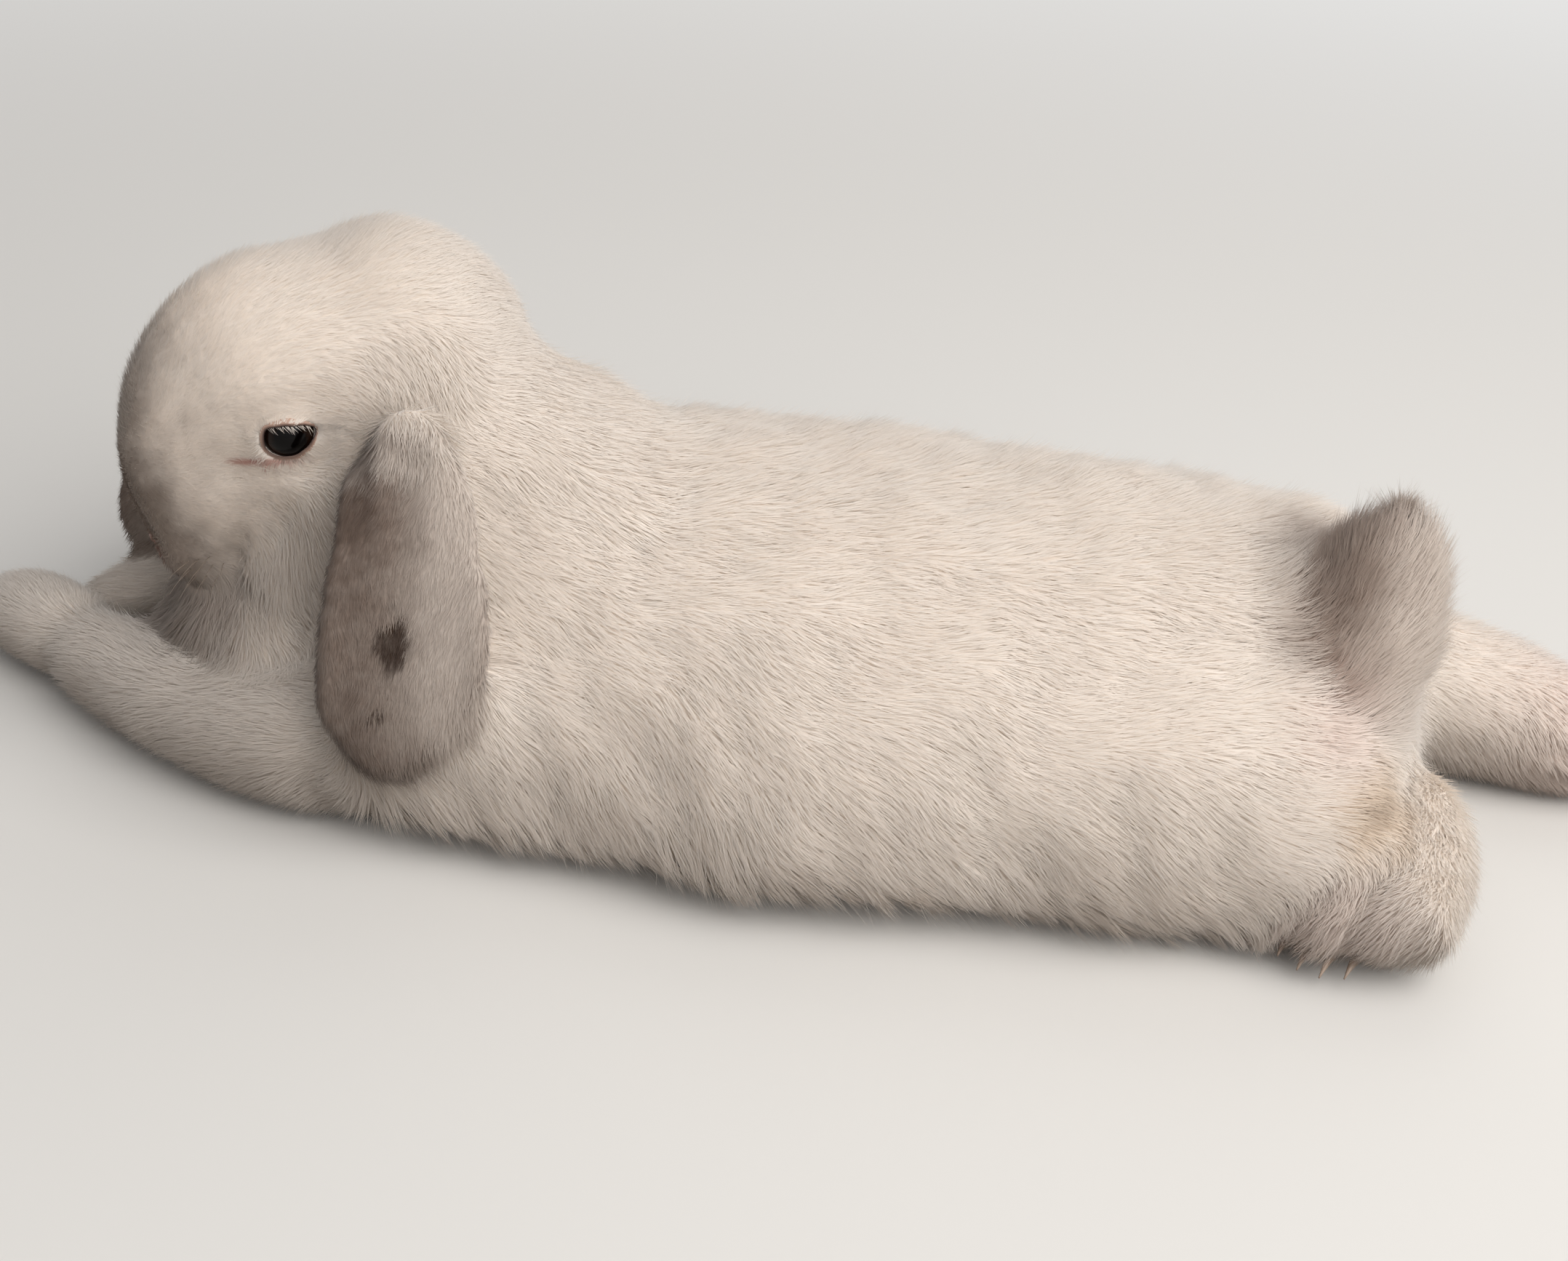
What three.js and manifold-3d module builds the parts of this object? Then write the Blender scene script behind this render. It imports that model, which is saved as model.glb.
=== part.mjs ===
// A lop rabbit lying stretched on its belly, life size, in millimetres with +Z up.
// The nose points to -X, the rump to +X and the rabbit's left side faces -Y.
// The outer surface of every solid is the outline of the coat.
import * as THREE from 'three';
import { mergeVertices } from 'three/addons/utils/BufferGeometryUtils.js';
import Module from 'manifold-3d';

const wasm = await Module();
wasm.setup();

// Driving dimensions
const gap = 0.3;                 // clearance left between two neighbouring pieces
const backHeight = 93;           // back above the floor
const hemHeight = 18;            // height of the widest line of the belly
const hemDepth = 4;              // belly flattened away under the floor line
const chestHalfWidth = 83;
const bellyHalfWidth = 90;
const loinHalfWidth = 78;
const trunkFront = -180;
const trunkRear = 187;

const headCentre = new THREE.Vector3(-139, -8, 101);   // on the axis of the head, under the eyes
const headTurn = 23;             // degrees towards the left side
const headPitch = 25;            // degrees nose down
const noseReach = 54;            // nose tip in front of the eyes
const occiputReach = 68;         // back of the head behind the eyes
const cheekHalfWidth = 43;
const eyeSpread = 36;            // outer face of the eye from the middle of the head
const eyeRadius = 9;
const eyeAhead = 2.5;            // eyes in front of the centre of the head
const eyeRise = 4.5;             // and above it

const earWidth = 45;
const earThickness = 8;

const clawLength = 12;           // the root of each claw lies inside the coat of the paw
const clawRadius = 1.5;
const foreClawSpread = 1.25;     // spacing of the claws against half the width of the paw
const hindClawSpread = 0.95;
const hindClawsBack = 3;         // the hind claws sit this much deeper in the coat
const clawsPerPaw = 4;

const limbSides = 12;
const tailSides = 14;
const thighSides = 16;
const headSides = 20;
const neckSides = 18;
const trunkSides = 22;

// Colours and finish
const coatCream = { color: 0xd8c8b8, roughness: 0.95, metalness: 0 };
const coatFawn = { color: 0x8b7466, roughness: 0.95, metalness: 0 };
const eyeDark = { color: 0x140c0a, roughness: 0.08, metalness: 0 };
const clawHorn = { color: 0x4a3c34, roughness: 0.5, metalness: 0 };

const degrees = THREE.MathUtils.degToRad;

// One smooth value for each channel of the stations, between the first (0) and the last (1).
function smoothStations(stations, share) {
  const last = stations.length - 1;
  const spot = share * last;
  const index = Math.min(Math.floor(spot), last - 1);
  const local = spot - index;
  const value = (row, channel) => stations[Math.min(Math.max(row, 0), last)][channel];
  const channels = stations[0].length;
  const result = [];
  for (let channel = 0; channel < channels; channel += 1) {
    const start = value(index, channel);
    const end = value(index + 1, channel);
    const slopeIn = (end - value(index - 1, channel)) / (index > 0 ? 2 : 1);
    const slopeOut = (value(index + 2, channel) - start) / (index + 2 <= last ? 2 : 1);
    const square = local * local;
    const cube = square * local;
    result.push(
      start * (2 * cube - 3 * square + 1) + end * (3 * square - 2 * cube)
      + slopeIn * (cube - 2 * square + local) + slopeOut * (cube - square),
    );
  }
  return result;
}

// Rounded ends: the share of the full section size at a place along the loft.
function endShare(share, startRound, endRound) {
  let size = 1;
  if (share < startRound) {
    size *= Math.sqrt(1 - (1 - share / startRound) ** 2);
  }
  if (share > 1 - endRound) {
    size *= Math.sqrt(1 - (1 - (1 - share) / endRound) ** 2);
  }
  return size;
}

// A closed body lofted along stations of [x, y, z, half width, height above, depth below].
// up gives the direction of the heights; grow makes the body larger all round.
function loft({ stations, up, steps, sides, ends = [0.2, 0.2], power = 2, grow = 0 }) {
  const upward = new THREE.Vector3(...up);
  const positions = [];
  const centreAt = (share) => new THREE.Vector3(...smoothStations(stations, share).slice(0, 3));
  const tangentAt = (share) => {
    const before = centreAt(Math.max(share - 0.01, 0));
    return centreAt(Math.min(share + 0.01, 1)).sub(before).normalize();
  };
  const addPoint = (point) => positions.push(point.x, point.y, point.z);
  for (let step = 1; step < steps; step += 1) {
    const share = (1 - Math.cos(Math.PI * step / steps)) / 2 * 0.35 + step / steps * 0.65;
    const [, , , halfWidth, above, below] = smoothStations(stations, share);
    const centre = centreAt(share);
    const tangent = tangentAt(share);
    const side = new THREE.Vector3().crossVectors(tangent, upward).normalize();
    const rise = new THREE.Vector3().crossVectors(side, tangent).normalize();
    const size = endShare(share, ends[0], ends[1]);
    for (let corner = 0; corner < sides; corner += 1) {
      const angle = 2 * Math.PI * corner / sides;
      const across = Math.sign(Math.cos(angle)) * Math.abs(Math.cos(angle)) ** (2 / power);
      const along = Math.sign(Math.sin(angle)) * Math.abs(Math.sin(angle)) ** (2 / power);
      const height = along > 0 ? above : below;
      addPoint(centre.clone()
        .addScaledVector(side, across * (halfWidth * size + grow))
        .addScaledVector(rise, along * (height * size + grow)));
    }
  }
  const rings = steps - 1;
  addPoint(centreAt(0).addScaledVector(tangentAt(0), -grow));
  addPoint(centreAt(1).addScaledVector(tangentAt(1), grow));
  const firstTip = rings * sides;
  const lastTip = firstTip + 1;
  const triangles = [];
  for (let corner = 0; corner < sides; corner += 1) {
    const next = (corner + 1) % sides;
    for (let ring = 0; ring < rings - 1; ring += 1) {
      const here = ring * sides;
      const beyond = here + sides;
      triangles.push(here + corner, beyond + next, here + next);
      triangles.push(here + corner, beyond + corner, beyond + next);
    }
    const lastRing = (rings - 1) * sides;
    triangles.push(firstTip, corner, next);
    triangles.push(lastTip, lastRing + next, lastRing + corner);
  }
  const geometry = new THREE.BufferGeometry();
  geometry.setAttribute('position', new THREE.Float32BufferAttribute(positions, 3));
  geometry.setIndex(triangles);
  return geometry;
}

function toSolid(geometry) {
  const bare = geometry.clone();
  bare.deleteAttribute('normal');
  bare.deleteAttribute('uv');
  const merged = mergeVertices(bare, 1e-5);
  const solid = new wasm.Manifold(new wasm.Mesh({
    numProp: 3,
    vertProperties: new Float32Array(merged.attributes.position.array),
    triVerts: new Uint32Array(merged.index.array),
  }));
  return solid;
}

function toGeometry(solid) {
  const mesh = solid.getMesh();
  const geometry = new THREE.BufferGeometry();
  geometry.setAttribute('position', new THREE.BufferAttribute(mesh.vertProperties, 3));
  geometry.setIndex(new THREE.BufferAttribute(mesh.triVerts, 1));
  return geometry;
}

// The largest single body left of a solid after its neighbours are cut away.
function cutBy(solid, neighbours) {
  let left = solid;
  for (const neighbour of neighbours) {
    left = left.subtract(neighbour);
  }
  const bodies = left.decompose();
  bodies.sort((one, other) => other.volume() - one.volume());
  return bodies[0];
}

const belowFloor = new THREE.BoxGeometry(800, 500, 100);
belowFloor.translate(0, 0, -50);
const floorBlock = toSolid(belowFloor);

// Head frame: x runs forward to the nose, y to the rabbit's left, z up through the crown.
const headPlace = new THREE.Matrix4();
const headForward = new THREE.Vector3(
  -Math.cos(degrees(headTurn)) * Math.cos(degrees(headPitch)),
  -Math.sin(degrees(headTurn)) * Math.cos(degrees(headPitch)),
  -Math.sin(degrees(headPitch)),
);
const headLeft = new THREE.Vector3(Math.sin(degrees(headTurn)), -Math.cos(degrees(headTurn)), 0);
const headUp = new THREE.Vector3().crossVectors(headForward, headLeft);
headPlace.makeBasis(headForward, headLeft, headUp);
headPlace.setPosition(headCentre);

// Each shape below takes grow, so that a neighbour can be cut with the same shape made larger.
function trunkShape(grow) {
  const below = hemHeight + hemDepth;
  const above = backHeight - hemHeight;
  return toSolid(loft({
    stations: [
      [trunkFront, -7, hemHeight, chestHalfWidth * 0.28, 18, below],
      [-155, -7, hemHeight + 6, chestHalfWidth * 0.56, 36, below + 6],
      [-124, -6, hemHeight + 4, chestHalfWidth * 0.84, 53, below + 4],
      [-92, -4, hemHeight, chestHalfWidth * 0.94, 70, below],
      [-48, 0, hemHeight, chestHalfWidth, above + 2, below],
      [-14, 0, hemHeight, bellyHalfWidth * 1.01, above + 1, below],
      [26, 0, hemHeight, bellyHalfWidth * 1.04, above, below],
      [86, 0, hemHeight, bellyHalfWidth * 0.93, above, below],
      [132, 0, hemHeight, loinHalfWidth * 0.96, above - 1, below],
      [162, 0, hemHeight + 2, loinHalfWidth * 0.84, above - 2, below],
      [trunkRear, 0, hemHeight + 6, loinHalfWidth * 0.64, 66, below],
    ],
    up: [0, 0, 1],
    steps: 20,
    sides: trunkSides,
    ends: [0.12, 0.13],
    power: 2.2,
    grow,
  }));
}

function neckShape(grow) {
  return toSolid(loft({
    stations: [
      [-150, -8, 76, 26, 26, 30],
      [-132, -8, 71, 42, 44, 36],
      [-108, -5, 70, 47, 55, 42],
      [-80, -2, 62, 53, 50, 44],
      [-50, 0, 52, 54, 42, 44],
      [-24, 0, 40, 42, 36, 36],
    ],
    up: [0, 0, 1],
    steps: 12,
    sides: neckSides,
    ends: [0.25, 0.3],
    grow,
  }));
}

function headShape(grow) {
  const geometry = loft({
    stations: [
      [noseReach, 0, -25, 10, 10, 9],
      [47, 0, -24, 17, 20, 17],
      [32, 0, -19, 25, 37, 30],
      [12, 0, -13, 32, 48, 41],
      [-8, 0, -8, 38, 49, 52],
      [-28, 0, -5, cheekHalfWidth, 37, 58],
      [-46, 0, -4, cheekHalfWidth * 0.95, 36, 46],
      [-occiputReach, 0, -4, cheekHalfWidth * 0.6, 26, 28],
    ],
    up: [0, 0, 1],
    steps: 19,
    sides: headSides,
    ends: [0.12, 0.2],
    grow,
  });
  geometry.applyMatrix4(headPlace);
  return toSolid(geometry);
}

// The left ear hangs down over the shoulder and the right one swings forward past the cheek.
const earStations = {
  left: [
    [-100, -42, 124, 0.6, 1.7],
    [-97, -54, 110, 0.74, 1.5],
    [-95, -67, 89, 0.88, 1],
    [-94, -75, 66, 1, 1],
    [-97, -79, 45, 0.86, 1],
    [-101, -81, 26, 0.5, 0.8],
  ],
  right: [
    [-122, 32, 120, 0.6, 1.7],
    [-136, 42, 106, 0.76, 1.5],
    [-155, 46, 86, 0.92, 1],
    [-172, 43, 64, 0.92, 1],
    [-187, 38, 42, 0.8, 1],
    [-199, 34, 18, 0.7, 0.8],
  ],
};

function earShape(side, grow) {
  const flat = earThickness / 2;
  const stations = earStations[side].map(([x, y, z, wide, thick]) => (
    [x, y, z, wide * earWidth / 2, thick * flat, thick * flat]
  ));
  return toSolid(loft({
    stations,
    up: side === 'left' ? [0, -1, 0] : [0.3, 1, 0],
    steps: 16,
    sides: limbSides,
    ends: [0.15, 0.2],
    grow,
  }));
}

function eyeShape(side, grow) {
  const outward = side === 'left' ? 1 : -1;
  const geometry = new THREE.SphereGeometry(eyeRadius + grow, 14, 8);
  geometry.translate(eyeAhead, outward * (eyeSpread - eyeRadius), eyeRise);
  geometry.applyMatrix4(headPlace);
  return toSolid(geometry);
}

const forelegStations = {
  left: [
    [-70, -48, 40, 22, 30, 32],
    [-98, -51, 32, 23, 28, 34],
    [-126, -52, 24, 23, 22, 28],
    [-156, -42, 20, 19, 18, 22],
    [-182, -26, 17, 16, 15, 18],
    [-204, -10, 16, 14, 14, 16],
  ],
  right: [
    [-84, 40, 40, 24, 28, 32],
    [-106, 42, 32, 24, 26, 34],
    [-128, 40, 24, 21, 17, 26],
    [-148, 38, 18, 17, 13, 20],
    [-166, 34, 14, 15, 11, 15],
    [-182, 30, 13, 13, 9, 13],
  ],
};

function forelegShape(side, grow) {
  return toSolid(loft({
    stations: forelegStations[side],
    up: [0, 0, 1],
    steps: 12,
    sides: limbSides,
    ends: [0.2, 0.12],
    grow,
  }));
}

function thighShape(side, grow) {
  const outward = side === 'left' ? -1 : 1;
  return toSolid(loft({
    stations: [
      [14, outward * 54, 24, 26, 26, 28],
      [52, outward * 56, 30, 32, 36, 34],
      [98, outward * 56, 32, 35, 42, 36],
      [138, outward * 52, 32, 33, 40, 36],
      [170, outward * 46, 30, 26, 30, 34],
    ],
    up: [0, 0, 1],
    steps: 11,
    sides: thighSides,
    ends: [0.3, 0.25],
    grow,
  }));
}

const pawStations = {
  forepaw_left: [
    [-194, -16, 17, 11, 12, 14],
    [-208, -7, 17, 14, 13, 15],
    [-222, 3, 15, 14, 12, 14],
    [-237, 11, 11, 12, 8, 10],
  ],
  forepaw_right: [
    [-174, 32, 12, 11, 9, 12],
    [-187, 29, 12, 13, 9, 13],
    [-200, 26, 10, 13, 8, 11],
    [-213, 23, 8, 10, 6, 9],
  ],
  hind_foot_left: [
    [172, -26, 24, 19, 20, 24],
    [168, -42, 23, 26, 22, 25],
    [162, -57, 20, 30, 22, 24],
    [151, -72, 18, 34, 20, 19],
    [145, -87, 12, 25, 13, 13],
  ],
  hind_foot_right: [
    [160, 32, 30, 26, 24, 32],
    [190, 33, 28, 25, 22, 30],
    [216, 29, 24, 23, 20, 26],
    [242, 25, 19, 21, 17, 21],
    [264, 22, 13, 17, 12, 15],
  ],
};

function pawShape(paw, grow) {
  return toSolid(loft({
    stations: pawStations[paw],
    up: [0, 0, 1],
    steps: 10,
    sides: limbSides,
    ends: [0.2, 0.28],
    grow,
  }));
}

// One claw of a paw: it leaves the toe end level and curves down to its point.
function clawShape(paw, index) {
  const stations = pawStations[paw];
  const tip = new THREE.Vector3(...stations[stations.length - 1]);
  const before = new THREE.Vector3(...stations[stations.length - 2]);
  const heading = tip.clone().sub(before).setZ(0).normalize();
  const across = new THREE.Vector3(-heading.y, heading.x, 0);
  const pawWidth = stations[stations.length - 1][3];
  const place = (index - (clawsPerPaw - 1) / 2) / clawsPerPaw;
  const hind = paw.startsWith('hind');
  const spread = place * pawWidth * (hind ? hindClawSpread : foreClawSpread);
  const setBack = Math.abs(place) * pawWidth * 0.5 + (hind ? hindClawsBack : 0);
  const clawStations = [[-0.7, 0, 1], [-0.25, 0, 0.9], [0.1, -0.8, 0.66], [0.35, -2.2, 0.3]].map(
    ([along, drop, thick]) => {
      const point = tip.clone()
        .addScaledVector(across, spread)
        .addScaledVector(heading, along * clawLength - setBack);
      const radius = clawRadius * thick;
      return [point.x, point.y, 7 + drop, radius, radius, radius];
    },
  );
  return toSolid(loft({
    stations: clawStations,
    up: [0, 0, 1],
    steps: 4,
    sides: 6,
    ends: [0.1, 0.2],
  }));
}

function tailShape(grow) {
  return toSolid(loft({
    stations: [
      [142, -41, 42, 20, 16, 16],
      [147, -37, 58, 25, 21, 21],
      [152, -30, 75, 26, 22, 22],
      [155, -23, 92, 23, 19, 20],
      [156, -15, 107, 15, 15, 15],
    ],
    up: [1, -0.4, 0.2],
    steps: 10,
    sides: tailSides,
    ends: [0.25, 0.25],
    grow,
  }));
}

const rabbit = new THREE.Group();

function addPart(name, solid, look) {
  const mesh = new THREE.Mesh(toGeometry(solid), new THREE.MeshStandardMaterial(look));
  mesh.name = name;
  rabbit.add(mesh);
}

function addPaw(paw, neighbours) {
  addPart(paw, cutBy(pawShape(paw, 0), neighbours), coatCream);
  const pawGrown = pawShape(paw, gap);
  for (let index = 0; index < clawsPerPaw; index += 1) {
    addPart(`claw_${paw}_${index + 1}`, cutBy(clawShape(paw, index), [pawGrown]), clawHorn);
  }
}

const trunkGrown = trunkShape(gap);
const headGrown = headShape(gap);
const neckGrown = neckShape(gap);
const tailGrown = tailShape(gap);
const trunkCutters = [floorBlock, headGrown, tailGrown];
const forelegsGrown = [];

for (const side of ['left', 'right']) {
  const hindFootGrown = pawShape(`hind_foot_${side}`, gap);
  const forelegGrown = forelegShape(side, gap);
  const forepawGrown = pawShape(`forepaw_${side}`, gap);
  const earNeighbours = [trunkGrown, neckGrown, headGrown, forelegGrown, forepawGrown];
  addPart(`eye_${side}`, eyeShape(side, 0), eyeDark);
  addPart(`ear_${side}`, cutBy(earShape(side, 0), earNeighbours), coatFawn);
  addPart(`foreleg_${side}`, cutBy(forelegShape(side, 0), [floorBlock, headGrown]), coatCream);
  addPaw(`forepaw_${side}`, [floorBlock, trunkGrown, headGrown, forelegGrown]);
  addPart(`thigh_${side}`, cutBy(thighShape(side, 0), [floorBlock, tailGrown, hindFootGrown]), coatCream);
  addPaw(`hind_foot_${side}`, [floorBlock, tailGrown]);
  trunkCutters.push(thighShape(side, gap), forelegGrown, hindFootGrown);
  forelegsGrown.push(forelegGrown);
}
addPart('tail', tailShape(0), coatFawn);
addPart('trunk', cutBy(trunkShape(0), trunkCutters), coatCream);
addPart('neck', cutBy(neckShape(0), [trunkGrown, headGrown, ...forelegsGrown]), coatCream);
const eyesGrown = ['left', 'right'].map((side) => eyeShape(side, gap));
addPart('head', cutBy(headShape(0), eyesGrown), coatCream);

// The origin is on the floor, under the middle of the whole model.
const middle = new THREE.Box3().setFromObject(rabbit).getCenter(new THREE.Vector3());
rabbit.position.set(-middle.x, -middle.y, 0);

export default rabbit;
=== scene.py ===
import math
import bpy
import numpy as np
from mathutils import Matrix, Vector
from mathutils.bvhtree import BVHTree
from mathutils.kdtree import KDTree


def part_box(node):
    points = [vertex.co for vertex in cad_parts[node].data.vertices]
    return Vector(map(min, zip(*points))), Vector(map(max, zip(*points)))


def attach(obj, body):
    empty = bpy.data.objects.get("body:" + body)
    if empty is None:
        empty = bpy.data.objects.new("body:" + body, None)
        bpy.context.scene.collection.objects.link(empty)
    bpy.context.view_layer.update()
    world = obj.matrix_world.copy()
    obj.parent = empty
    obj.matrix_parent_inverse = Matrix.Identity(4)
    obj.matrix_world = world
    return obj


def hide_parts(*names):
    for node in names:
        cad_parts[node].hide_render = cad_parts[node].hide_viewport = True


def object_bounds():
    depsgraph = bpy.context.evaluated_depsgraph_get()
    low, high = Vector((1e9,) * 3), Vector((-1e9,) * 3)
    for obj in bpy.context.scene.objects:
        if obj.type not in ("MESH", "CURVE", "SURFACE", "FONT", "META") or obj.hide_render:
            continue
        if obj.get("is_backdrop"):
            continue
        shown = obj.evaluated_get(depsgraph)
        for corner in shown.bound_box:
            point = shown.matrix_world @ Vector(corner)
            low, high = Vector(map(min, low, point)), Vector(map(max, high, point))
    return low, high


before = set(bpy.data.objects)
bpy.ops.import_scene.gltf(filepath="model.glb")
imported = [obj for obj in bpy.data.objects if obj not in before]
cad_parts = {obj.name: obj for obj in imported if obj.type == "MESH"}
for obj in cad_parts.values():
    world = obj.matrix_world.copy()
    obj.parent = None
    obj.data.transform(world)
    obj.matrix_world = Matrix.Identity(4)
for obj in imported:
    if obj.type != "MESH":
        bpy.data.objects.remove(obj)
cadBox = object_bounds()
sides = {"left": 1, "right": -1}       # with each one's sign along the head's left
rng = np.random.default_rng(41)


def makeActive(*pieces):
    bpy.ops.object.select_all(action="DESELECT")
    for piece in pieces:
        piece.select_set(True)
    bpy.context.view_layer.objects.active = pieces[0]


def inEdit(piece, operator, chosen=None, **values):
    # an edit-mode operator on the chosen faces, or on all of them
    makeActive(piece)
    bpy.ops.object.mode_set(mode="EDIT")
    bpy.ops.mesh.select_mode(type="FACE")
    bpy.ops.mesh.select_all(action="SELECT" if chosen is None else "DESELECT")
    if chosen is not None:
        bpy.ops.object.mode_set(mode="OBJECT")
        piece.data.polygons.foreach_set("select", chosen)
        bpy.ops.object.mode_set(mode="EDIT")
    operator(**values)
    bpy.ops.object.mode_set(mode="OBJECT")


def applyModifier(piece, kind, **values):
    makeActive(piece)
    modifier = piece.modifiers.new(kind.title(), kind)
    for key, value in values.items():
        setattr(modifier, key, value)
    bpy.ops.object.modifier_apply(modifier=modifier.name)


def newPiece(name, primitive, **values):
    # a primitive to be shaped, with its place in its mesh
    bpy.ops.object.select_all(action="DESELECT")
    primitive(**values)
    bpy.ops.object.transform_apply(location=True, rotation=True, scale=True)
    piece = bpy.context.object
    piece.name = piece.data.name = name
    return piece


def taperedRod(name, values):
    # a cone one unit long, cut across in steps so that it can be bent
    rod = newPiece(name, bpy.ops.mesh.primitive_cone_add, vertices=values["sides"],
                   radius1=values["base"], radius2=values["tip"], depth=1, location=(0, 0, 0.5))
    for cut in range(1, values["steps"]):
        inEdit(rod, bpy.ops.mesh.bisect, plane_co=(0, 0, cut / values["steps"]),
               plane_no=(0, 0, 1))
    return rod


def copyOf(piece):
    copy = piece.copy()
    copy.data = piece.data.copy()
    copy.parent = None
    bpy.context.collection.objects.link(copy)
    for key in list(copy.keys()):
        del copy[key]
    return copy


def joined(copies, name):
    makeActive(*copies)
    bpy.ops.object.join()
    piece = bpy.context.object
    piece.name = piece.data.name = name
    return piece


def pointOutward(piece):
    inEdit(piece, bpy.ops.mesh.normals_make_consistent, inside=False)
    bpy.ops.object.shade_smooth()


def readArray(items, name, width=3, kind=float):
    values = np.empty(len(items) * width, kind)
    items.foreach_get(name, values)
    return values.reshape(-1, width)


def coordsOf(piece):
    return readArray(piece.data.vertices, "co")


def setCoords(piece, coords):
    piece.data.vertices.foreach_set("co", coords.ravel())
    piece.data.update()


def normalsOf(piece):
    return readArray(piece.data.vertex_normals, "vector")


def edgesOf(piece):
    return readArray(piece.data.edges, "vertices", 2, np.int32)


def writeFloat(piece, name, values):
    layer = piece.data.attributes.new(name, "FLOAT", "POINT")
    layer.data.foreach_set("value", np.asarray(values, np.float32))


def finishPiece(piece, material, slot, *nodes):
    piece.data.materials.append(material)
    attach(piece, "root")
    if nodes:
        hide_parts(*nodes)


def unit(vectors):
    return vectors / np.maximum(np.linalg.norm(vectors, axis=-1, keepdims=True), 1e-9)


def fade(low, high, value):
    # a smooth step from 0 at low to 1 at high
    share = np.clip((value - low) / (high - low), 0, 1)
    return share * share * (3 - 2 * share)


def bump(value, centre, width):
    return np.exp(-((value - centre) / width) ** 2)


def mound(places, spans):
    # a bump in several directions at once, each span with its middle and width
    return np.exp(-sum(((place - middle) / width) ** 2
                       for place, (middle, width) in zip(places, spans)))


def softNoise(points, size, seed, count=9):
    waves = np.random.default_rng(seed)
    total = np.zeros(len(points))
    for _ in range(count):
        direction = unit(waves.normal(size=3))
        pitch = size * waves.uniform(0.7, 1.5)
        total += np.sin(points @ direction * 2 * math.pi / pitch + waves.uniform(0, 6.28))
    return total / math.sqrt(count)


headSet = {"pitch": 25.0, "eyeAhead": 0.0025, "eyeAbove": 0.0045}


def middleOf(node):
    low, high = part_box(node)
    return np.array((low + high) / 2)


eyeMiddle = {side: middleOf(f"eye_{side}") for side in sides}
headLeft = unit(eyeMiddle["left"] - eyeMiddle["right"])
headLevel = unit(np.cross(headLeft, (0, 0, 1.0)))
headLevel = headLevel * (-1 if headLevel[0] > 0 else 1)
pitchAngle = math.radians(headSet["pitch"])
headAhead = headLevel * math.cos(pitchAngle) - np.array((0, 0, math.sin(pitchAngle)))
headUp = unit(np.cross(headAhead, headLeft))
headMiddle = (eyeMiddle["left"] + eyeMiddle["right"]) / 2
headMiddle = headMiddle - headAhead * headSet["eyeAhead"] - headUp * headSet["eyeAbove"]
headAxes = np.stack([headAhead, headLeft, headUp])


def toHead(points):
    return (np.asarray(points) - headMiddle) @ headAxes.T


def fromHead(points):
    return np.asarray(points) @ headAxes + headMiddle


eyeSet = {
    "ball": 0.0087,
    "sink": 0.0018,          # how far the ball sits behind the CAD eye's front
    "lower": 0.0020,         # and below its middle
    "cornea": 0.0005,
    "corneaEdge": 0.70,      # share of the quarter turn from the pupil
    "slant": -22.0,          # degrees the opening tips from the line of the head
    "turn": 8.0,             # degrees the eye looks forward of square
    # millimetres ahead and up: flat upper lid, round lower lid, drawn out behind
    "outline": ((6.2, 0.2), (5.7, 3.0), (2.6, 3.9), (-1.0, 4.0), (-4.6, 3.6), (-6.8, 2.4),
                (-5.4, 0.1), (-2.9, -2.7), (1.1, -4.5), (4.4, -4.4), (6.0, -3.0)),
    "ringSteps": 180,
    "ringSmooth": 24,
    "around": (-0.003, 0.018),   # how deep and how high over the ball's middle its surroundings go
    "farOff": 9.0,           # openings away, for all that is outside them
}
lidSet = {
    "gap": 0.0008,           # lids stand this far off the ball
    "wall": 0.0006,
    "roll": 0.0006,
    "rollPlace": (0.22, 0.16),
    "rollUpper": 0.5,        # how much thicker the roll is above than at the sides
    "edge": 90.0,            # degrees from the pupil, where the lids end under the coat
    "crowding": 1.5,         # rings crowd towards the opening
    "kept": (0.12, 0.88),    # heights between which the sphere is kept, as shares of its radius
    "rim": (0.22, 0.08),
    "paler": 0.30,           # lower rim
    "per": 6.6,              # tufts on a square mm
    "tuftsFrom": (1.04, 1.12),
    "tuftsTo": (1.5, 1.25),
}


def eyeFrame(side):
    turn, slant = math.radians(eyeSet["turn"]), math.radians(eyeSet["slant"])
    out = unit(headLeft * sides[side] * math.cos(turn) + headAhead * math.sin(turn))
    forward = unit(headAhead - out * (headAhead @ out))
    forward = unit(forward * math.cos(slant) - headUp * math.sin(slant))
    forward = unit(forward - out * (forward @ out))
    upward = np.cross(out, forward) * (1 if np.cross(out, forward) @ headUp > 0 else -1)
    low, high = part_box(f"eye_{side}")
    centre = eyeMiddle[side] + out * ((high[2] - low[2]) / 2 - eyeSet["ball"] - eyeSet["sink"])
    return centre - upward * eyeSet["lower"], out, forward, upward


eyePlane = {side: eyeFrame(side) for side in sides}


def openingRing():
    along, above = (np.array(eyeSet["outline"]) / 1000).T
    ring = np.linspace(-math.pi, math.pi, eyeSet["ringSteps"], endpoint=False)
    reach = np.interp(ring, np.arctan2(above, along), np.hypot(along, above), period=2 * math.pi)
    for _ in range(eyeSet["ringSmooth"]):
        reach = (np.roll(reach, 1) + np.roll(reach, -1) + 2 * reach) / 4
    return ring, reach


eyeRing = openingRing()


def openingReach(angle):
    # from the pupil to the edge of the lids
    return np.interp(angle, *eyeRing, period=2 * math.pi)


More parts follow.
